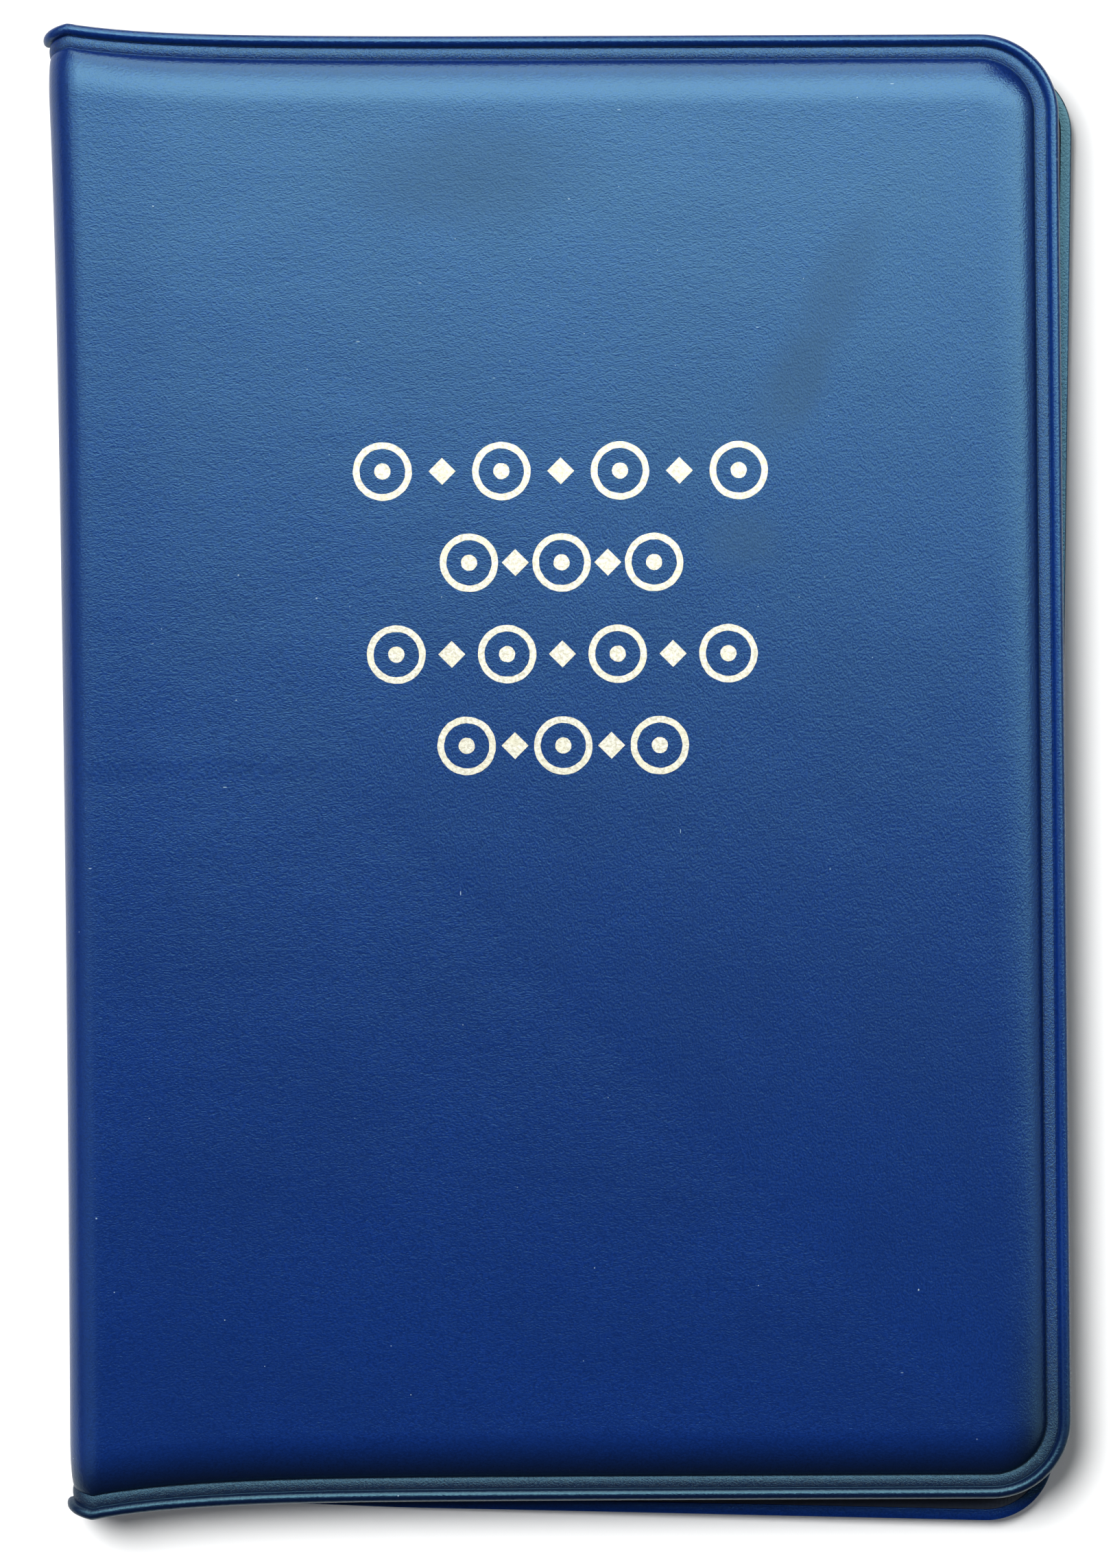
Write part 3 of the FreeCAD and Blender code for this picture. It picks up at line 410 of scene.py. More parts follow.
# Lint: specks of dust and short fibres lying on the vinyl.
lint = 0.0
for stretch, density, size in (
    ((1.0, 1.0, 1.0), 0.27, 0.026),
    ((1.0, 0.22, 1.0), 0.55, 0.030),
    ((0.3, 1.0, 1.0), 0.5, 0.028),
):
    drawn = vinyl.node("ShaderNodeVectorMath", {0: place, 1: stretch}, take="Vector", operation="MULTIPLY")
    near = vinyl.node("ShaderNodeTexVoronoi", {"Vector": drawn, "Scale": density}, take="Distance")
    pick = vinyl.node("ShaderNodeTexVoronoi", {"Vector": drawn, "Scale": density}, take="Color")
    pick = vinyl.node("ShaderNodeSeparateColor", {0: pick}, take="Red").rise(0.80, 0.84)
    lint = lint + near.rise(size * 1.25, size * 0.7) * pick
blue = vinyl.blend(lint * 0.7, blue, (0.40, 0.50, 0.62))

roughness = 0.20 + 0.08 * grain + 0.14 * smudge + 0.12 * weld + 0.06 * fold + 0.05 * painted_end_shade + 0.3 * lint
waves = vinyl.bump(vinyl.noise(place, 0.09, detail=1), 0.05 * MM)
skin = vinyl.bump(grain + 0.5 * mottle, 0.026 * MM, under=waves)
pressed = vinyl.bump(speckle * weld, 0.012 * MM, under=skin)
vinyl.surface(Base_Color=blue, Roughness=roughness, Normal=pressed, IOR=1.52, Specular_Tint=(0.44, 0.88, 1.0))

skin_lines = sheet_lines(46, 66)
skins = {}
for side in ("front", "back"):
    skin = cover_slab(f"{side}_outer_vinyl", side, skin_height, skin_underside, skin_lines)
    skin.data.materials.append(vinyl.material)
    skins[side] = skin

# ---------------------------------------------------------------------------------------------------------
# Inner vinyl: the other sheet of the weld. It lies flat behind each board, rises beside the fold to lie
# against the outer vinyl there, and is the face that shows when the album is open.

ramp_run = 3.6  # length over which it comes down from the outer vinyl beside the fold
gap_beside_fold = 0.02
gap_at_edge = 0.05
weld_release = (weld_edge - 0.1, weld_edge + 1.2)  # where it comes free of the weld
lining_insets = np.concatenate([
    [bead_width, 1.22, 1.3, 1.5, 1.9, 2.3, 2.4, 2.55, 2.7, 2.85],
    [3.0, 3.3, 3.7, 4.4, 5.4, 6.4, 8.0],
])


def lining_face(p, q, side):
    """Face of the inner vinyl that the page lies on."""
    inset = inset_of(p, q)
    lift = edge_lift * np.sin(bend_angle(p)) ** 2
    rise = (cover - skin_gauge - lining_gauge - gap_beside_fold) * (1 - smooth(0, ramp_run, p))
    inside = smooth(*weld_release, inset)
    under_skin = skin_height(p, q, side) - skin_gauge - lining_gauge - gap_at_edge
    risen = np.maximum(np.minimum(lift * (1 - inside) + rise * inside, under_skin), np.minimum(lift, rise))
    return np.where(inset < weld_edge, lift, risen)


def lining_back(p, q, side):
    return lining_face(p, q, side) + lining_gauge - 0.005


def lining_lines():
    p, q = sheet_lines(40, 60, lining_insets)
    ramp = np.linspace(0, ramp_run, 8)
    return np.unique(np.concatenate([p[p <= 0], ramp, p[p > ramp[-1] + 0.3]])), q


lining_vinyl = Finish("navy_lining_vinyl")
place = lining_vinyl.place()
crosshatch = lining_vinyl.noise(place, 1.6, detail=3)
rib = {"Vector": place, "Scale": 0.55, "Distortion": 1.2}
weave = lining_vinyl.node("ShaderNodeTexWave", rib, take="Fac")
navy = lining_vinyl.blend(crosshatch.rise(0.3, 0.7), (0.0030, 0.0050, 0.016), (0.0055, 0.0085, 0.026))
grain = lining_vinyl.bump(crosshatch + 0.25 * weave, 0.03 * MM)
lining_vinyl.surface(Base_Color=navy, Roughness=0.5 + 0.12 * crosshatch, Normal=grain, IOR=1.4)

linings = {}
for side in ("front", "back"):
    lining = cover_slab(f"{side}_inner_vinyl", side, lining_back, lining_face, lining_lines())
    lining.data.materials.append(lining_vinyl.material)
    linings[side] = lining

# The CAD's own vinyl pieces are hidden in favour of these halves, and each half's placing is applied to its
# mesh.
fold_middle = Vector(lay(np.array(mid_fold), np.array(0.0), np.array(cover), "front"))
flat_size = ((fore_edge - mid_fold) * MM, 2 * (half_length + flare_size / 2) * MM)
for side in ("front", "back"):
    fold_top = Vector(lay(np.array(0.0), np.array(0.0), np.array(cover), side))
    for piece, slot, node in (
        (skins[side], "cover_vinyl", "skin"),
        (linings[side], "lining_vinyl", "lining"),
    ):
        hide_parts(f"{side}_{node}")
        if side == "front":
            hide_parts(f"spine_{node}")
        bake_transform(piece)

# ---------------------------------------------------------------------------------------------------------
# Padding: a thin pad of soft foam between each board and the outer vinyl. It was cut a little smaller than
# the board, and the vinyl drawn over it gives it a crown and a rounded edge.

pad_inset = 4.35
pad_start = 3.6
pad_slope = 1.2  # the pad's edge beside the fold thins over this length
pad_pinch = 0.6  # share of its thickness that it loses there
pad_play = 0.03  # gap under the outer vinyl
least_pad = 0.05
board_top = lining_gauge + 0.9


def pad_top(p, q, side):
    full = skin_height(p, q, side) - skin_gauge - pad_play - board_top - least_pad
    return board_top + least_pad + full * (1 - (1 - smooth(0, pad_slope, p - pad_start)) * pad_pinch)


foam = Finish("padding_foam")
cells = foam.node("ShaderNodeTexVoronoi", {"Vector": foam.place(), "Scale": 2.2}, take="Distance")
cream = foam.blend(cells, (0.62, 0.56, 0.42), (0.80, 0.75, 0.62))
foam.surface(Base_Color=cream, Roughness=0.95, Normal=foam.bump(cells, 0.08 * MM))

pad_rim = pad_inset + np.array([0.0, 0.2, 0.5, 0.9, 1.4, 2.2, 3.4, 5.5])
pad_foot = pad_start + np.array([0, 0.3, 0.7, 1.2, 2.2])
pad_p = np.concatenate([pad_foot, np.linspace(8, 86, 27), (fore_edge - pad_rim)[::-1]])
pad_q = np.concatenate([pad_rim - half_length, np.linspace(-64, 64, 40), (half_length - pad_rim)[::-1]])
for side in ("front", "back"):
    p, q = np.meshgrid(pad_p, pad_q, indexing="ij")
    flat_place = np.stack([p, q, inset_of(p, q)], axis=-1)
    top = lay(p, q, pad_top(p, q, side), side)
    bottom = lay(p, q, np.full(p.shape, board_top + 0.01), side)
    pad = grid_slab(f"{side}_padding", top, bottom, False, flat_place)
    pad.data.materials.append(foam.material)
    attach(pad, f"{side}_cover")
    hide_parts(f"{side}_foam")

# ---------------------------------------------------------------------------------------------------------
# Boards: a die-cut greyboard in each cover, on the inner vinyl and under the padding. Their corners and edges
# are eased a little, as a punched board's are.

board_inset = 4.05
board_start = 3.2
board_corner = 0.12
corner_ease = 0.6  # share of the corner's width that it goes down

greyboard = Finish("greyboard")
fibre = greyboard.noise(greyboard.place(), 1.4, detail=5)
grey = greyboard.blend(fibre.rise(0.3, 0.7), (0.20, 0.18, 0.15), (0.36, 0.33, 0.28))
greyboard.surface(Base_Color=grey, Roughness=0.92, Normal=greyboard.bump(fibre, 0.05 * MM))

board_rim = board_inset + np.array([0.0, 0.05, 0.12, 0.4, 1.2, 2.4, 5.0])
board_foot = board_start + board_rim[:4] - board_inset
board_p = np.concatenate([board_foot, np.linspace(6, 86, 20), (fore_edge - board_rim)[::-1]])
board_q = np.concatenate([board_rim - half_length, np.linspace(-66, 66, 30), (half_length - board_rim)[::-1]])
for side in ("front", "back"):
    p, q = np.meshgrid(board_p, board_q, indexing="ij")
    from_rim = np.minimum(inset_of(p, q) - board_inset, p - board_start)
    eased = board_corner * (1 - smooth(0, board_corner, from_rim)) * corner_ease
    low, high = lining_gauge + 0.01 + eased, board_top - eased
    flat_place = np.stack([p, q, inset_of(p, q)], axis=-1)
    board = grid_slab(f"{side}_greyboard", lay(p, q, high, side), lay(p, q, low, side), False, flat_place)
    board.data.materials.append(greyboard.material)
    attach(board, f"{side}_cover")
    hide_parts(f"{side}_board")

# ---------------------------------------------------------------------------------------------------------
# Gold ornament: four centred rows of rings and lozenges stamped on the front in gold foil, worn at the edges.
# The hot die pressed them a little into the vinyl.

ornament_rows = [(7, 5.9), (5, 4.6), (7, 5.5), (5, 4.8)]  # how many shapes in a row, and their step
ornament_pitch = 9.1
ornament_rise = 15.9
ornament_across = fore_edge - 50.0
ring_radius, ring_stroke = 2.9, 0.65
dot_radius, lozenge_reach = 0.8, 1.34
foil_proud, foil_sunk = 0.018, -0.02
edge_wear = 0.012

foil_points, foil_faces = [], []


def stamp(outline_in, outline_out):
    """One stamped shape between two closed outlines of (p, q) points, following the crowned panel."""
    first = len(foil_points)
    count = len(outline_in)
    for depth in (foil_proud, foil_sunk):
        for outline in (outline_in, outline_out):
            p, q = outline[:, 0], outline[:, 1]
            foil_points.extend(lay(p, q, skin_height(p, q, "front") + depth, "front").tolist())
    for i in range(count):
        j = (i + 1) % count
        top_in, top_out, low_in, low_out = (first + k * count for k in range(4))
        foil_faces.append((top_in + i, top_out + i, top_out + j, top_in + j))
        foil_faces.append((low_in + j, low_out + j, low_out + i, low_in + i))
        foil_faces.append((top_out + i, low_out + i, low_out + j, top_out + j))
        foil_faces.append((top_in + j, low_in + j, low_in + i, top_in + i))


chance = random.Random(7)


def worn_round(centre, radius, count=72):
    """A round outline whose edge is a little ragged."""
    phases = [(k, chance.uniform(0, 2 * math.pi), chance.uniform(0.2, 1)) for k in (3, 5, 8, 13, 21)]
    angle = np.linspace(0, 2 * math.pi, count, endpoint=False)
    worn = radius + sum(size * np.sin(k * angle + phase) for k, phase, size in phases) * edge_wear
    return np.stack([centre[0] + worn * np.cos(angle), centre[1] + worn * np.sin(angle)], axis=1)


for row, (count, step) in enumerate(ornament_rows):
    across = ornament_rise + (1.5 - row) * ornament_pitch
    for item in range(count):
        centre = (ornament_across + (item - (count - 1) / 2) * step, across)
        if item % 2 == 0:
            stamp(worn_round(centre, ring_radius - ring_stroke), worn_round(centre, ring_radius))
            stamp(worn_round(centre, 0.01, 40), worn_round(centre, dot_radius, 40))
        else:
            angle = np.linspace(0, 2 * math.pi, 40, endpoint=False)
            reach = lozenge_reach / (np.abs(np.cos(angle)) + np.abs(np.sin(angle)))
            edge = np.stack([centre[0] + reach * np.cos(angle), centre[1] + reach * np.sin(angle)], axis=1)
            stamp(np.array(centre) + (edge - np.array(centre)) * 0.01, edge)

ornament_mesh = bpy.data.meshes.new("gold_ornament")
ornament_mesh.from_pydata(foil_points, [], foil_faces)
ornament = add_piece("gold_ornament", ornament_mesh)


def mm_place(finish):
    """Place in the object's own frame, in mm, for pieces whose mesh is the CAD's."""
    at = finish.node("ShaderNodeTexCoord", {}, take="Object")
    return finish.node("ShaderNodeVectorMath", {0: at, "Scale": 1 / MM}, take="Vector", operation="SCALE")


gold = Finish("gold_foil")
at = mm_place(gold)
flake = gold.noise(at, 3.0, detail=4, roughness=0.65)
rub = gold.noise(at, 0.45, detail=3)
tone = gold.blend(flake.rise(0.35, 0.65), (0.35, 0.30, 0.235), (0.54, 0.485, 0.42))
tone = gold.blend(rub.rise(0.45, 0.75) * 0.5, tone, (0.46, 0.40, 0.28))
pits = (flake + 0.5 * rub).rise(0.98, 1.04)
tone = gold.blend(pits, tone, (0.06, 0.07, 0.12))
dull = 0.42 + 0.2 * flake
gold.surface(Base_Color=tone, Metallic=1 - 0.85 * pits, Roughness=dull, Normal=gold.bump(flake, 0.02 * MM))
ornament_mesh.materials.append(gold.material)
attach(ornament, "front_cover")
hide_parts("foil_ornament")

# ---------------------------------------------------------------------------------------------------------
# Card pocket: clear film welded on three sides to the inside of the front cover. The films of the page's coin
# windows are the same stuff.


def dress(finish, *names):
    """Gives CAD nodes a finish, in their own material slots."""
    for name in names:
        node = frame["nodes"][name]
        for slot in node.material_slots:
            slot.material = finish.material


film = Finish("clear_film")
scuff = film.noise(mm_place(film), 0.5, detail=4)
edge_on = film.node("ShaderNodeLayerWeight", {"Blend": 0.35}, take="Facing")
film.surface(
    Base_Color=film.blend(scuff, (0.80, 0.85, 0.90), (0.90, 0.92, 0.94)),
    Alpha=0.14 + 0.06 * scuff.rise(0.5, 0.8) + 0.5 * edge_on ** 3,
    Roughness=0.08 + 0.10 * scuff,
    Normal=film.bump(film.noise(mm_place(film), 0.12, detail=1), 0.15 * MM),
)
dress(film, "card_pocket", "page_front_film", "page_back_film")

# ---------------------------------------------------------------------------------------------------------
# Information card: a cream card that slides in the pocket, printed in dark blue with a ruled border, a disc
# for each coin and plain bars.

card_stock = Finish("card_stock")
fibre = card_stock.noise(mm_place(card_stock), 2.0, detail=4)
cream = card_stock.blend(fibre, (0.74, 0.70, 0.58), (0.82, 0.79, 0.69))
card_stock.surface(Base_Color=cream, Roughness=0.75, Normal=card_stock.bump(fibre, 0.02 * MM))
dress(card_stock, "info_card")

card_turn = 2 * half_skew
card_points = np.array([v.co for v in frame["nodes"]["info_card"].data.vertices]) / MM
turn_cos, turn_sin = math.cos(card_turn), math.sin(card_turn)
turn_back = np.array([[turn_cos, -turn_sin], [turn_sin, turn_cos]])
card_flat = card_points[:, :2] @ turn_back
card_low, card_high = card_flat.min(axis=0), card_flat.max(axis=0)
card_face = card_points[:, 2].min()
ink_proud, ink_sunk = 0.012, 0.004
print_points, print_faces = [], []


def print_shape(outer, inner=None):
    """Ink between two closed outlines, or inside one, on the face that shows when the album is open."""
    outer = np.array(outer, float)
    middle = outer.mean(axis=0)
    inner = middle + (outer - middle) * 0.001 if inner is None else np.array(inner, float)
    first = len(print_points)
    for height in (card_face - ink_proud, card_face + ink_sunk):
        for outline in (inner, outer):
            flat = outline @ turn_back.T
            print_points.extend([(x * MM, y * MM, height * MM) for x, y in flat])
    count = len(outer)
    for i in range(count):
        j = (i + 1) % count
        low_in, low_out, top_in, top_out = (first + k * count for k in range(4))
        print_faces.append((low_in + i, low_in + j, low_out + j, low_out + i))
        print_faces.append((top_in + j, top_in + i, top_out + i, top_out + j))
        print_faces.append((low_out + i, low_out + j, top_out + j, top_out + i))
        print_faces.append((low_in + j, low_in + i, top_in + i, top_in + j))


def box_outline(x0, y0, x1, y1):
    return [(x0, y0), (x1, y0), (x1, y1), (x0, y1)]


def round_outline(x, y, radius, count=48):
    angles = np.linspace(0, 2 * math.pi, count + 1)[:-1]
    return [(x + radius * math.cos(angle), y + radius * math.sin(angle)) for angle in angles]


print_margin = 5
left, low = card_low + print_margin
right, high = card_high - print_margin
for gap, rule in ((0, 0.45), (1.2, 0.2)):
    print_shape(
        box_outline(left + gap, low + gap, right - gap, high - gap),
        box_outline(left + gap + rule, low + gap + rule, right - gap - rule, high - gap - rule),
    )
middle = (left + right) / 2
print_shape(box_outline(middle - 21, high - 11, middle + 21, high - 8.4))
print_shape(box_outline(middle - 12, high - 15.4, middle + 12, high - 14))
disc_sizes = (5.7, 4.7, 5.2, 4.1, 3.4)
row_pitch = (high - low - 26) / len(disc_sizes)
for row, disc_radius in enumerate(disc_sizes):
    x = left + 13
    y = high - 19 - row_pitch * (row + 0.5)
    print_shape(round_outline(x, y, disc_radius), round_outline(x, y, disc_radius - 0.35))
    print_shape(round_outline(x, y, disc_radius - 0.9), round_outline(x, y, disc_radius - 1.05))
    for line, length in enumerate((0.96, 1.0, 0.62)):
        x = left + 24
        run = (right - 6 - x) * length
        print_shape(box_outline(x, y + 3.1 - 2.9 * line, x + run, y + 4.1 - 2.9 * line))
card_print_mesh = bpy.data.meshes.new("card_print")
card_print_mesh.from_pydata(print_points, [], print_faces)
card_print = add_piece("card_print", card_print_mesh)
ink = Finish("blue_ink")
spread = ink.noise(mm_place(ink), 4.0, detail=3)
printed = ink.blend(spread, (0.012, 0.025, 0.11), (0.030, 0.050, 0.16))
ink.surface(Base_Color=printed, Roughness=0.6 + 0.2 * spread)
card_print_mesh.materials.append(ink.material)
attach(card_print, "info_card")

# ---------------------------------------------------------------------------------------------------------
# Page: two sheets of navy vinyl welded round a stiff card core, with a round window of clear film on both
# sides of each coin. Each window has a pressed ring weld round it.

page_vinyl = Finish("page_vinyl")
at = mm_place(page_vinyl)
pebble = page_vinyl.node("ShaderNodeTexVoronoi", {"Vector": at, "Scale": 1.6}, take="Distance")
cloud = page_vinyl.noise(at, 0.3, detail=3)
navy = page_vinyl.blend(cloud.rise(0.3, 0.7), (0.0045, 0.012, 0.055), (0.0075, 0.019, 0.080))
page_vinyl.surface(
    Base_Color=navy, Roughness=0.38 + 0.14 * cloud, Normal=page_vinyl.bump(pebble, 0.05 * MM), IOR=1.5
)
dress(page_vinyl, "page_front_sheet", "page_back_sheet")

core_card = Finish("core_card")
fibre = core_card.noise(mm_place(core_card), 2.5, detail=4)
core_card.surface(
    Base_Color=core_card.blend(fibre, (0.015, 0.022, 0.06), (0.03, 0.04, 0.10)),
    Roughness=0.85,
    Normal=core_card.bump(fibre, 0.03 * MM),
)
dress(core_card, "page_core")


def node_round(name):
    """Centre and radius of a round CAD node, in mm."""
    low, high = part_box(name)
    centre = (low + high) / 2 / MM
    return centre, (high.x - low.x) / 2 / MM


def lathe_rings(profile, segments, radius_wave=None):
    """Points of a closed turned shape: profile is a loop of (radius, height) points, joined to its start."""
    angles = np.linspace(0, 2 * math.pi, segments, endpoint=False)
    points, faces = [], []
    for radius, height in profile:
        wave = radius_wave(radius, angles) if radius_wave else 0 * angles
        for angle, shift in zip(angles, wave):
            points.append(((radius + shift) * math.cos(angle), (radius + shift) * math.sin(angle), height))
    rings = len(profile)
    for ring in range(rings):
        start, following = ring * segments, (ring + 1) % rings * segments
        for i in range(segments):
            j = (i + 1) % segments
            faces.append((start + i, start + j, following + j, following + i))
    return points, faces


# A weld's outline, from inside to outside: (distance past the coin's edge, height above the sheet).
weld_profile = [(0.55, -0.06), (0.65, 0.05), (0.95, 0.10), (1.25, 0.05), (1.35, -0.06)]
page_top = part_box("page_front_sheet")[1].z / MM
page_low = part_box("page_back_sheet")[0].z / MM
weld_points, weld_faces = [], []
for name in ("ten", "five", "two", "one", "half"):
    centre, radius = node_round(f"coin_{name}")
    for face, direction in ((page_top, 1), (page_low, -1)):
        profile = [(radius + past, height) for past, height in weld_profile[::direction]]
        points, faces = lathe_rings(profile, 96)
        first = len(weld_points)
        for x, y, z in points:
            weld_points.append(((x + centre.x) * MM, (y + centre.y) * MM, (face + direction * z) * MM))
        weld_faces += [tuple(first + k for k in quad) for quad in faces]
window_mesh = bpy.data.meshes.new("window_welds")
window_mesh.from_pydata(weld_points, [], weld_faces)
window_mesh.shade_smooth()
window_mesh.materials.append(page_vinyl.material)
windows = add_piece("window_welds", window_mesh)
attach(windows, "coin_page")

# ---------------------------------------------------------------------------------------------------------
# Binding strip: a tape of the same navy vinyl welded down the middle of the fold, which the page hangs on.

strip_low, strip_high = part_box("binding_strip")
strip_half_length = (strip_high.y - strip_low.y) / 2 / MM
strip_right = strip_high.x / MM - strip_half_length * math.tan(half_skew)
strip_along = np.linspace(-strip_half_length, strip_half_length, 60)
on_lining = np.full(strip_along.shape, mid_fold)
fold_inside = lay(on_lining, strip_along, lining_back(on_lining, strip_along, "front"), "front")
page_side = fold_inside.copy()
page_side[:, 0] = (strip_right - fold_inside[:, 1] / MM * math.tan(half_skew)) * MM
strip_bulge = 0.03
share = np.linspace(0, 1, 5)[:, None]
strip_grid = fold_inside * (1 - share[:, None]) + page_side * share[:, None]
bulge = strip_bulge * np.sin(math.pi * share)
strip_faces = []
for direction, height in ((1, strip_high.z), (-1, strip_low.z)):
    face = strip_grid.copy()
    face[:, :, 2] = height + direction * bulge * MM
    strip_faces.append(face)
strip_place = strip_grid / MM
strip_place[:, :, 2] = 5  # well inside the welded edge
tape = grid_slab("binding_tape", strip_faces[0], strip_faces[1], False, strip_place)
tape.data.materials.append(lining_vinyl.material)
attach(tape, "spine")
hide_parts("binding_strip")

# ---------------------------------------------------------------------------------------------------------
# Coins: struck blanks with a raised rim, a ring of beads and a plain value. Two are cupronickel with a milled
# edge and three are bronze with a plain one. The other side has a wreath of leaves round a disc.

relief = 0.12
rim_width = 0.8
coin_bevel = 0.15
mill_depth = 0.05


def dome(centre, along, across, turn, height, base, direction, sides=10):
    """A low oval bump on a coin's field, as points and faces."""
    points, faces = [], []
    for share, lift in ((1.0, -0.03), (0.94, 0.35), (0.72, 0.75), (0.38, 0.96)):
        for k in range(sides):
            angle = 2 * math.pi * k / sides
            x, y = along * share * math.cos(angle), across * share * math.sin(angle)
            points.append((
                centre[0] + x * math.cos(turn) - y * math.sin(turn),
                centre[1] + x * math.sin(turn) + y * math.cos(turn),
                base + direction * height * lift,
            ))
    points.append((centre[0], centre[1], base + direction * height))
    points.append((centre[0], centre[1], base - direction * 0.03))
    for ring in range(3):
        for k in range(sides):
            j = (k + 1) % sides
            faces.append((ring * sides + k, ring * sides + j, (ring + 1) * sides + j, (ring + 1) * sides + k))
    for k in range(sides):
        j = (k + 1) % sides
        faces.append((3 * sides + k, 3 * sides + j, 4 * sides))
        faces.append((j, k, 4 * sides + 1))
    if direction < 0:
        faces = [face[::-1] for face in faces]
    return points, faces


def numeral(text, size, base):
    """A raised numeral as points and faces, centred on the coin."""
    curve = bpy.data.curves.new("numeral", "FONT")
    curve.body = text
    curve.size = size
    curve.extrude = relief * 0.45
    curve.bevel_depth = relief * 0.35
    curve.resolution_u = 4
    curve.offset = size * 0.012
    shape = add_piece("numeral", curve)
    bpy.context.view_layer.update()
    mesh = bpy.data.meshes.new_from_object(shape)
    points = np.array([v.co for v in mesh.vertices])
    middle = (points.min(axis=0) + points.max(axis=0)) / 2
    points = points - middle + np.array([0, 0, base + relief * 0.35])
    faces = [tuple(face.vertices) for face in mesh.polygons]
    bpy.data.objects.remove(shape)
    return points.tolist(), faces


metals = {}
for metal, bright, worn, toned in (
    ("cupronickel", (0.70, 0.69, 0.66), (0.52, 0.50, 0.47), (0.30, 0.27, 0.22)),
    ("coin_bronze", (0.72, 0.40, 0.22), (0.50, 0.25, 0.12), (0.16, 0.075, 0.035)),
):
    finish = Finish(metal)
    at = mm_place(finish)
    tarnish = finish.noise(at, 0.22, detail=4)
    scratch = finish.noise(at, 3.0, detail=5, roughness=0.7)
    tone = finish.blend(tarnish.rise(0.35, 0.65), bright, worn)
    tone = finish.blend(scratch.rise(0.52, 0.75) * 0.5, tone, toned)
    finish.surface(
        Base_Color=tone,
        Metallic=1.0,
        Roughness=0.22 + 0.16 * tarnish + 0.12 * scratch,
        Normal=finish.bump(scratch, 0.008 * MM),
    )
    metals[metal] = finish

for name, text, metal, turn in (
    ("ten", "10", "cupronickel", 0.15),
    ("five", "5", "cupronickel", -0.3),
    ("two", "2", "coin_bronze", 0.1),
    ("one", "1", "coin_bronze", 0.35),
    ("half", "\u00bd", "coin_bronze", -0.12),
):
    centre, radius = node_round(f"coin_{name}")
    low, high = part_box(f"coin_{name}")
    half_thick = (high.z - low.z) / 2 / MM
    field = half_thick - relief
    inner = radius - rim_width
    face_profile = [
        (0.02, field),
        (inner * 0.4, field),
        (inner * 0.8, field),
        (inner - 0.12, field + 0.01),
        (inner, half_thick - 0.02),
        (inner + 0.1, half_thick),
        (radius - coin_bevel, half_thick),
        (radius - 0.04, half_thick - 0.06),
        (radius, half_thick - coin_bevel),
    ]
    profile = face_profile[::-1] + [(r, -z) for r, z in face_profile]
    milled = metal == "cupronickel"
    mills = int(radius * 11)

    def milling(r, angles):
        return -mill_depth * (np.cos(angles * mills) > 0) if milled and r >= radius - 0.001 else 0 * angles

    parts = [lathe_rings(profile[::-1], mills * 4 if milled else 120, milling)]
    bead_ring = inner - 0.45
    beads = int(2 * math.pi * bead_ring / 0.72)
    for direction in (1, -1):
        for k in range(beads):
            angle = 2 * math.pi * k / beads
            at = (bead_ring * math.cos(angle), bead_ring * math.sin(angle))
            parts.append(dome(at, 0.24, 0.24, 0, relief * 0.75, direction * field, direction, 8))
    parts.append(numeral(text, radius * 1.15, field))
    leaves = 15
    for k in range(leaves):
        angle = 2 * math.pi * k / leaves
        for reach, tilt in ((0.62, 0.5), (0.52, -0.5)):
            at = (inner * reach * math.cos(angle), inner * reach * math.sin(angle))
            parts.append(
                dome(at, radius * 0.13, radius * 0.045, angle + math.pi / 2 + tilt, relief * 0.8, -field, -1)
            )
    parts.append(dome((0, 0), radius * 0.26, radius * 0.26, 0, relief * 0.8, -field, -1, 40))
    coin_points, coin_faces = [], []
    for points, faces in parts:
        first = len(coin_points)
        for x, y, z in points:
            coin_points.append((
                (centre.x + x * math.cos(turn) - y * math.sin(turn)) * MM,
                (centre.y + x * math.sin(turn) + y * math.cos(turn)) * MM,
                (centre.z + z) * MM,
            ))
        coin_faces += [tuple(first + k for k in face) for face in faces]
    mesh = bpy.data.meshes.new(f"struck_{name}")
    mesh.from_pydata(coin_points, [], coin_faces)
    mesh.shade_smooth()
    mesh.set_sharp_from_angle(angle=math.radians(38))
    mesh.materials.append(metals[metal].material)
    coin = add_piece(f"struck_{name}", mesh)
    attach(coin, "coin_page")
    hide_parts(f"coin_{name}")

# ---------------------------------------------------------------------------------------------------------
# Floor, lights and camera: a pale paper floor, soft panels that only show as gloss, and a broad sun that lights
# the matt surfaces.

floor_mesh = bpy.data.meshes.new("floor")
floor_mesh.from_pydata([(-3, -3, 0), (3, -3, 0), (3, 3, 0), (-3, 3, 0)], [], [(0, 1, 2, 3)])
floor = add_piece("floor", floor_mesh)
paper = Finish("pale_floor")
paper.surface(
    Base_Color=(0.88, 0.88, 0.88), Roughness=0.8, Emission_Color=(1.0, 1.0, 1.0), Emission_Strength=0.08
)
floor.data.materials.append(paper.material)
floor.location.z = -0.00005


def panel(name, centre, right, up, radiance, colour):
    """A flat light that faces the album: its centre, and half its width and height as vectors."""
    right, up = Vector(right), Vector(up)
    if right.cross(up).dot(Vector(centre)) < 0:
        right = -right
    width, height = 2 * right.length, 2 * up.length
    light = bpy.data.lights.new(name, "AREA")
    light.shape = "RECTANGLE"
    light.size, light.size_y = width, height
    light.energy = radiance * math.pi * width * height
    light.color = colour
    lamp = add_piece(name, light)
    axes = (right.normalized(), up.normalized(), right.cross(up).normalized())
    lamp.matrix_world = Matrix([[*row, place] for row, place in zip(zip(*axes), centre)] + [[0, 0, 0, 1]])
    lamp.visible_diffuse = False


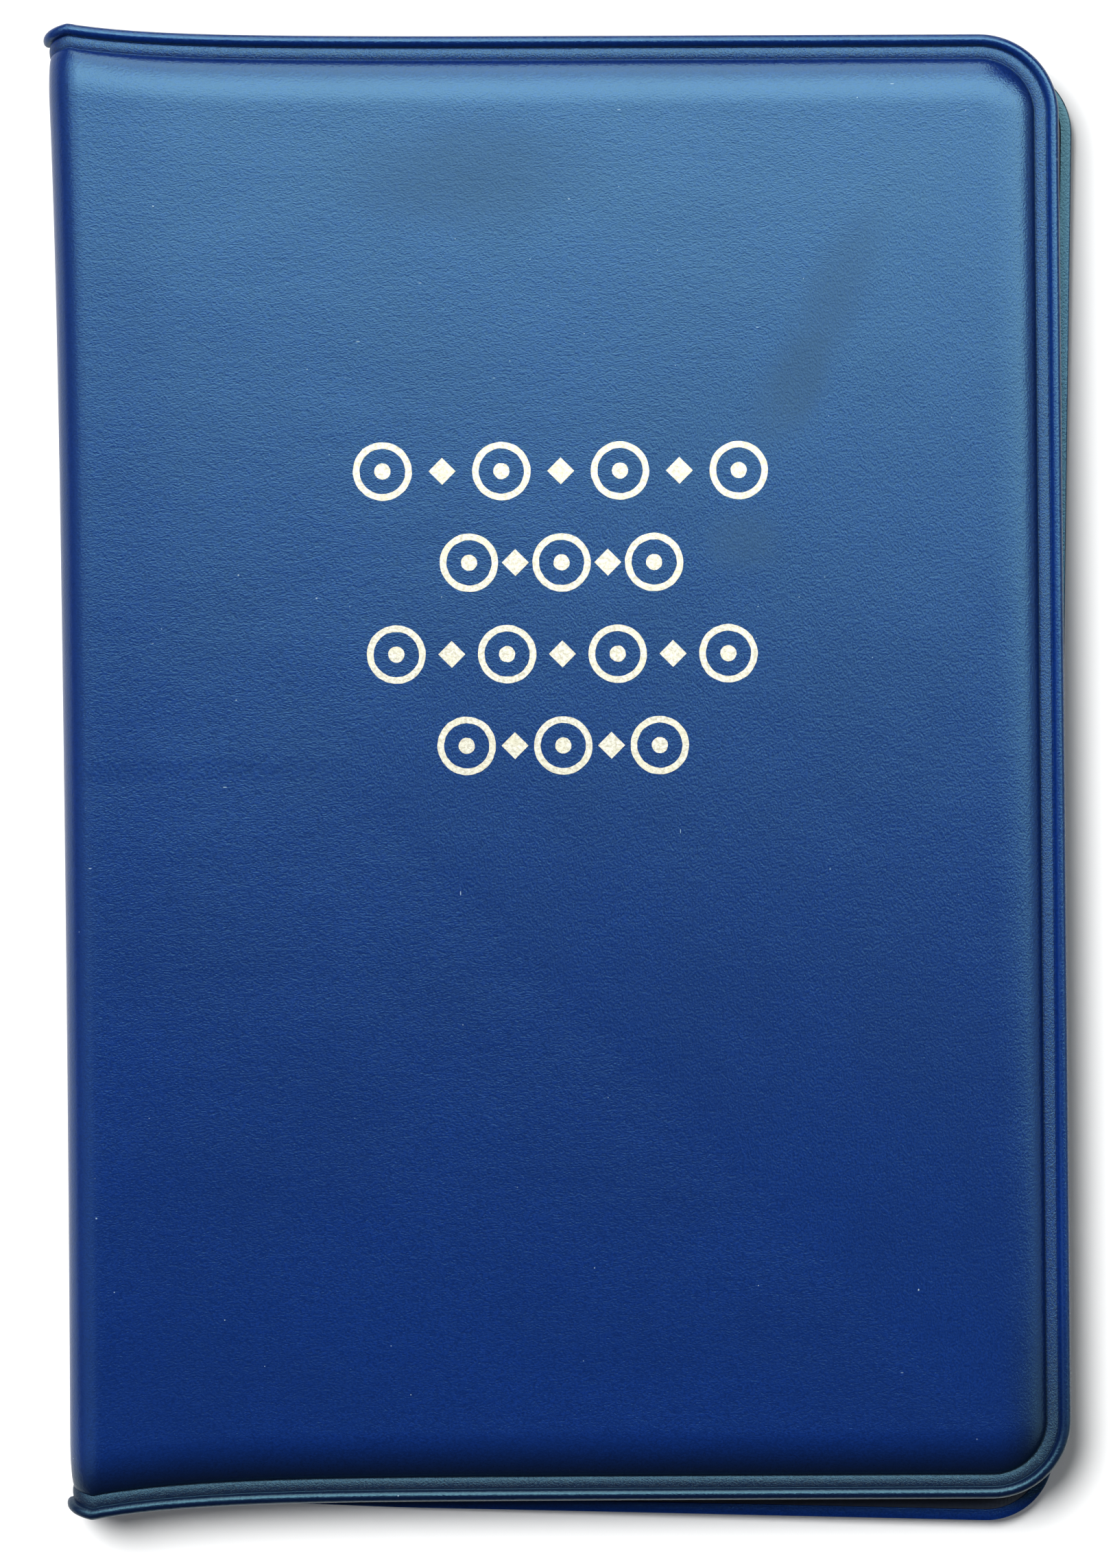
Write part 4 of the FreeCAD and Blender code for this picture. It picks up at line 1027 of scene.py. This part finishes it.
panel("overhead_window", (0.30, 0.30, 0.62), (0.50, -0.04, 0), (0.03, 0.27, 0), 5.1, (0.77, 0.98, 1.0))
panel("bright_sky", (0.28, 0.375, 0.64), (0.50, -0.02, 0), (0.02, 0.20, 0), 5.0, (1.0, 0.90, 0.87))
panel("left_sky", (-0.38, 0.34, 0.62), (0.18, -0.01, 0), (0.02, 0.25, 0), 4.6, (0.80, 0.95, 1.0))
panel("tall_window", (0.0, 0.80, 0.45), (0.24, 0, 0), (0, 0.10, -0.20), 6.0, (1.0, 0.95, 0.93))
panel("right_wall", (0.85, 0.0, 0.45), (0.0, 0.50, 0), (-0.14, 0, 0.24), 0.8, (0.85, 0.96, 1.0))
panel("left_wall", (-0.62, -0.05, 0.62), (0.0, 0.45, 0), (0.24, 0, 0.24), 0.5, (0.85, 0.96, 1.0))

sky = bpy.data.lights.new("soft_sky", "SUN")
sky.energy = 4.6
sky.angle = math.radians(36)
key = add_piece("soft_sky", sky)
key.rotation_euler = Vector((-0.52, 0.50, 1)).to_track_quat("Z", "Y").to_euler()
key.visible_glossy = False

# The room is dim on the album and bright behind it.
world = bpy.data.worlds.new("room")
world.use_nodes = True
room = world.node_tree.nodes["Background"]
room.inputs["Color"].default_value = (0.92, 0.95, 1.0, 1)
seen = world.node_tree.nodes.new("ShaderNodeLightPath")
level = world.node_tree.nodes.new("ShaderNodeMath")
level.operation = "MULTIPLY_ADD"
level.inputs[1].default_value = 0.75
level.inputs[2].default_value = 0.06
world.node_tree.links.new(seen.outputs["Is Camera Ray"], level.inputs[0])
world.node_tree.links.new(level.outputs[0], room.inputs["Strength"])
bpy.context.scene.world = world
bpy.context.scene.view_settings.view_transform = "Standard"

camera_height = 0.62
view_length = 0.15592  # stretch of the album's top face that fills the view
sensor = 36
camera_data = bpy.data.cameras.new("camera")
camera_data.sensor_width = sensor
camera_data.lens = sensor * (camera_height - thickness * MM) / view_length
camera = add_piece("camera", camera_data)
camera.location = (-0.72 * MM, -0.68 * MM, camera_height)
camera.rotation_euler = (0, 0, math.radians(0.7))
bpy.context.scene.camera = camera
